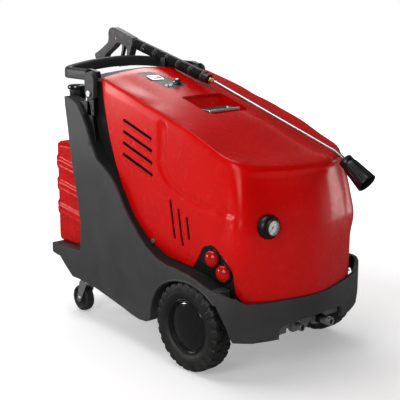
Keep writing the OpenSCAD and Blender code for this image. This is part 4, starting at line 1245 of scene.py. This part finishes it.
ROUND = {"rear_shelf": 2, "rear_wall": 1.5, "top_cross": 3, "base_frame": 0.8, "hood_screws": 0.8, "handle_bolts": 1,
         "drive_axle": 0.8, "castor_plates": 1, "castor_fork_left": 0.7, "castor_fork_right": 0.7,
         "safety_catch": 0.6, "lance_holder": 1.6, "cable_gland": 0.8, "motor_case": 1.5, "motor_rotor": 0.6,
         "pump_block": 1.5, "boiler_shell": 1, "heating_coil": 0, "burner_case": 1, "blower_wheel": 0,
         "electrical_box": 2, "nozzle_tip": 0.5, "gauge_lens": 0.3}
node_slot = {s["node"]: s["material_slot"] for s in frame["record"]["subparts"]}
for node, width in ROUND.items():
    dress(nodes[node], node_slot[node], width * MM)

# ---- floor, light and camera


def staged(name, corners, material):
    """A sheet of the studio that the machine's finish doesn't mirror."""
    sheet = bpy.data.meshes.new(name)
    sheet.from_pydata(corners, [], [(0, 1, 2, 3)])
    sheet.materials.append(material)
    ob = link(name, sheet)
    ob.visible_glossy = False


# Painted glow: the floor emits light, weakly near the machine and fully white away from it, so that it brightens into
# a seamless white sweep
white_floor = surface("studio_floor", (0.92, 0.92, 0.92), 0.6, vary=0.004, rough_vary=0.05, specular=0.2)
tree = white_floor.node_tree
shader = next(n for n in tree.nodes if n.type == "BSDF_PRINCIPLED")
reach = add_node(tree, "VectorMath", {0: add_node(tree, "TexCoord").outputs["Object"]}, operation="LENGTH")
floor_glow = add_node(tree, "MapRange", {"From Min": 0.9, "From Max": 2.6, "To Min": 0.32, "To Max": 1.0,
                                    "Value": reach.outputs["Value"]})
shader.inputs["Emission Color"].default_value = WHITE
tree.links.new(floor_glow.outputs[0], shader.inputs["Emission Strength"])
FLOOR_REACH = 150
staged("floor", [(x * FLOOR_REACH, y * FLOOR_REACH, 0) for x, y in ((-1, -1), (1, -1), (1, 1), (-1, 1))],
       white_floor)


def softbox(name, at, aim, size, power):
    light = bpy.data.lights.new(name, "AREA")
    light.shape = "RECTANGLE"
    light.size, light.size_y = size
    light.energy = power
    ob = link(name, light)
    ob.location = at
    ob.rotation_euler = (Vector(aim) - Vector(at)).to_track_quat("-Z", "Y").to_euler()


softbox("over", (-0.5, 0.7, 3.4), (0, 0, 0.4), (2.4, 2.4), 62)
softbox("key", (-3.8, -1.2, 2.2), (0, 0, 0.5), (1.9, 1.6), 60)
softbox("roof_glow", (1.8, 2.3, 2.4), (0, 0.3, 0.8), (0.9, 0.6), 9)
softbox("side_glow", (-2.4, 3.1, 1.05), (-0.3, 0.2, 0.7), (0.8, 0.8), 26)
softbox("corner_glow", (3.0, -1.15, 0.45), (0.2, -0.4, 0.5), (0.7, 0.9), 7.5)

# Pale backdrop behind the machine, seen from the camera
glow = bpy.data.materials.new("backdrop_glow")
glow.use_nodes = True
tree = glow.node_tree
tree.nodes.clear()
emit = add_node(tree, "Emission", {"Color": WHITE, "Strength": 1.0})
tree.links.new(emit.outputs[0], add_node(tree, "OutputMaterial").inputs[0])
behind = Vector((0.658, 0.72, 0)).normalized()
across_view = Vector((-behind.y, behind.x, 0))
WALL_WAY, WALL_HALF, WALL_LOW, WALL_HIGH = 7.5, 9, -0.5, 9
far = behind * WALL_WAY
staged("backdrop", [tuple(far + across_view * (s * WALL_HALF) + Vector((0, 0, z))) for s, z in
                    ((-1, WALL_LOW), (1, WALL_LOW), (1, WALL_HIGH), (-1, WALL_HIGH))], glow)

bpy.context.scene.view_settings.view_transform = "Standard"
world = bpy.data.worlds.new("studio")
bpy.context.scene.world = world
world.use_nodes = True
world.node_tree.nodes["Background"].inputs[0].default_value = WHITE
world.node_tree.nodes["Background"].inputs[1].default_value = 0.08

cam = bpy.data.cameras.new("camera")
cam.lens = 90.1
camera = link("camera", cam)
CAMERA_WAY = 3.5307
az, el = radians(-42.4), radians(12.7)
back = Vector((sin(az) * cos(el), -cos(az) * cos(el), sin(el)))
camera.location = P(-33.6, 0, 482.8) + back * CAMERA_WAY
camera.rotation_euler = (-back).to_track_quat("-Z", "Y").to_euler()
bpy.context.scene.camera = camera
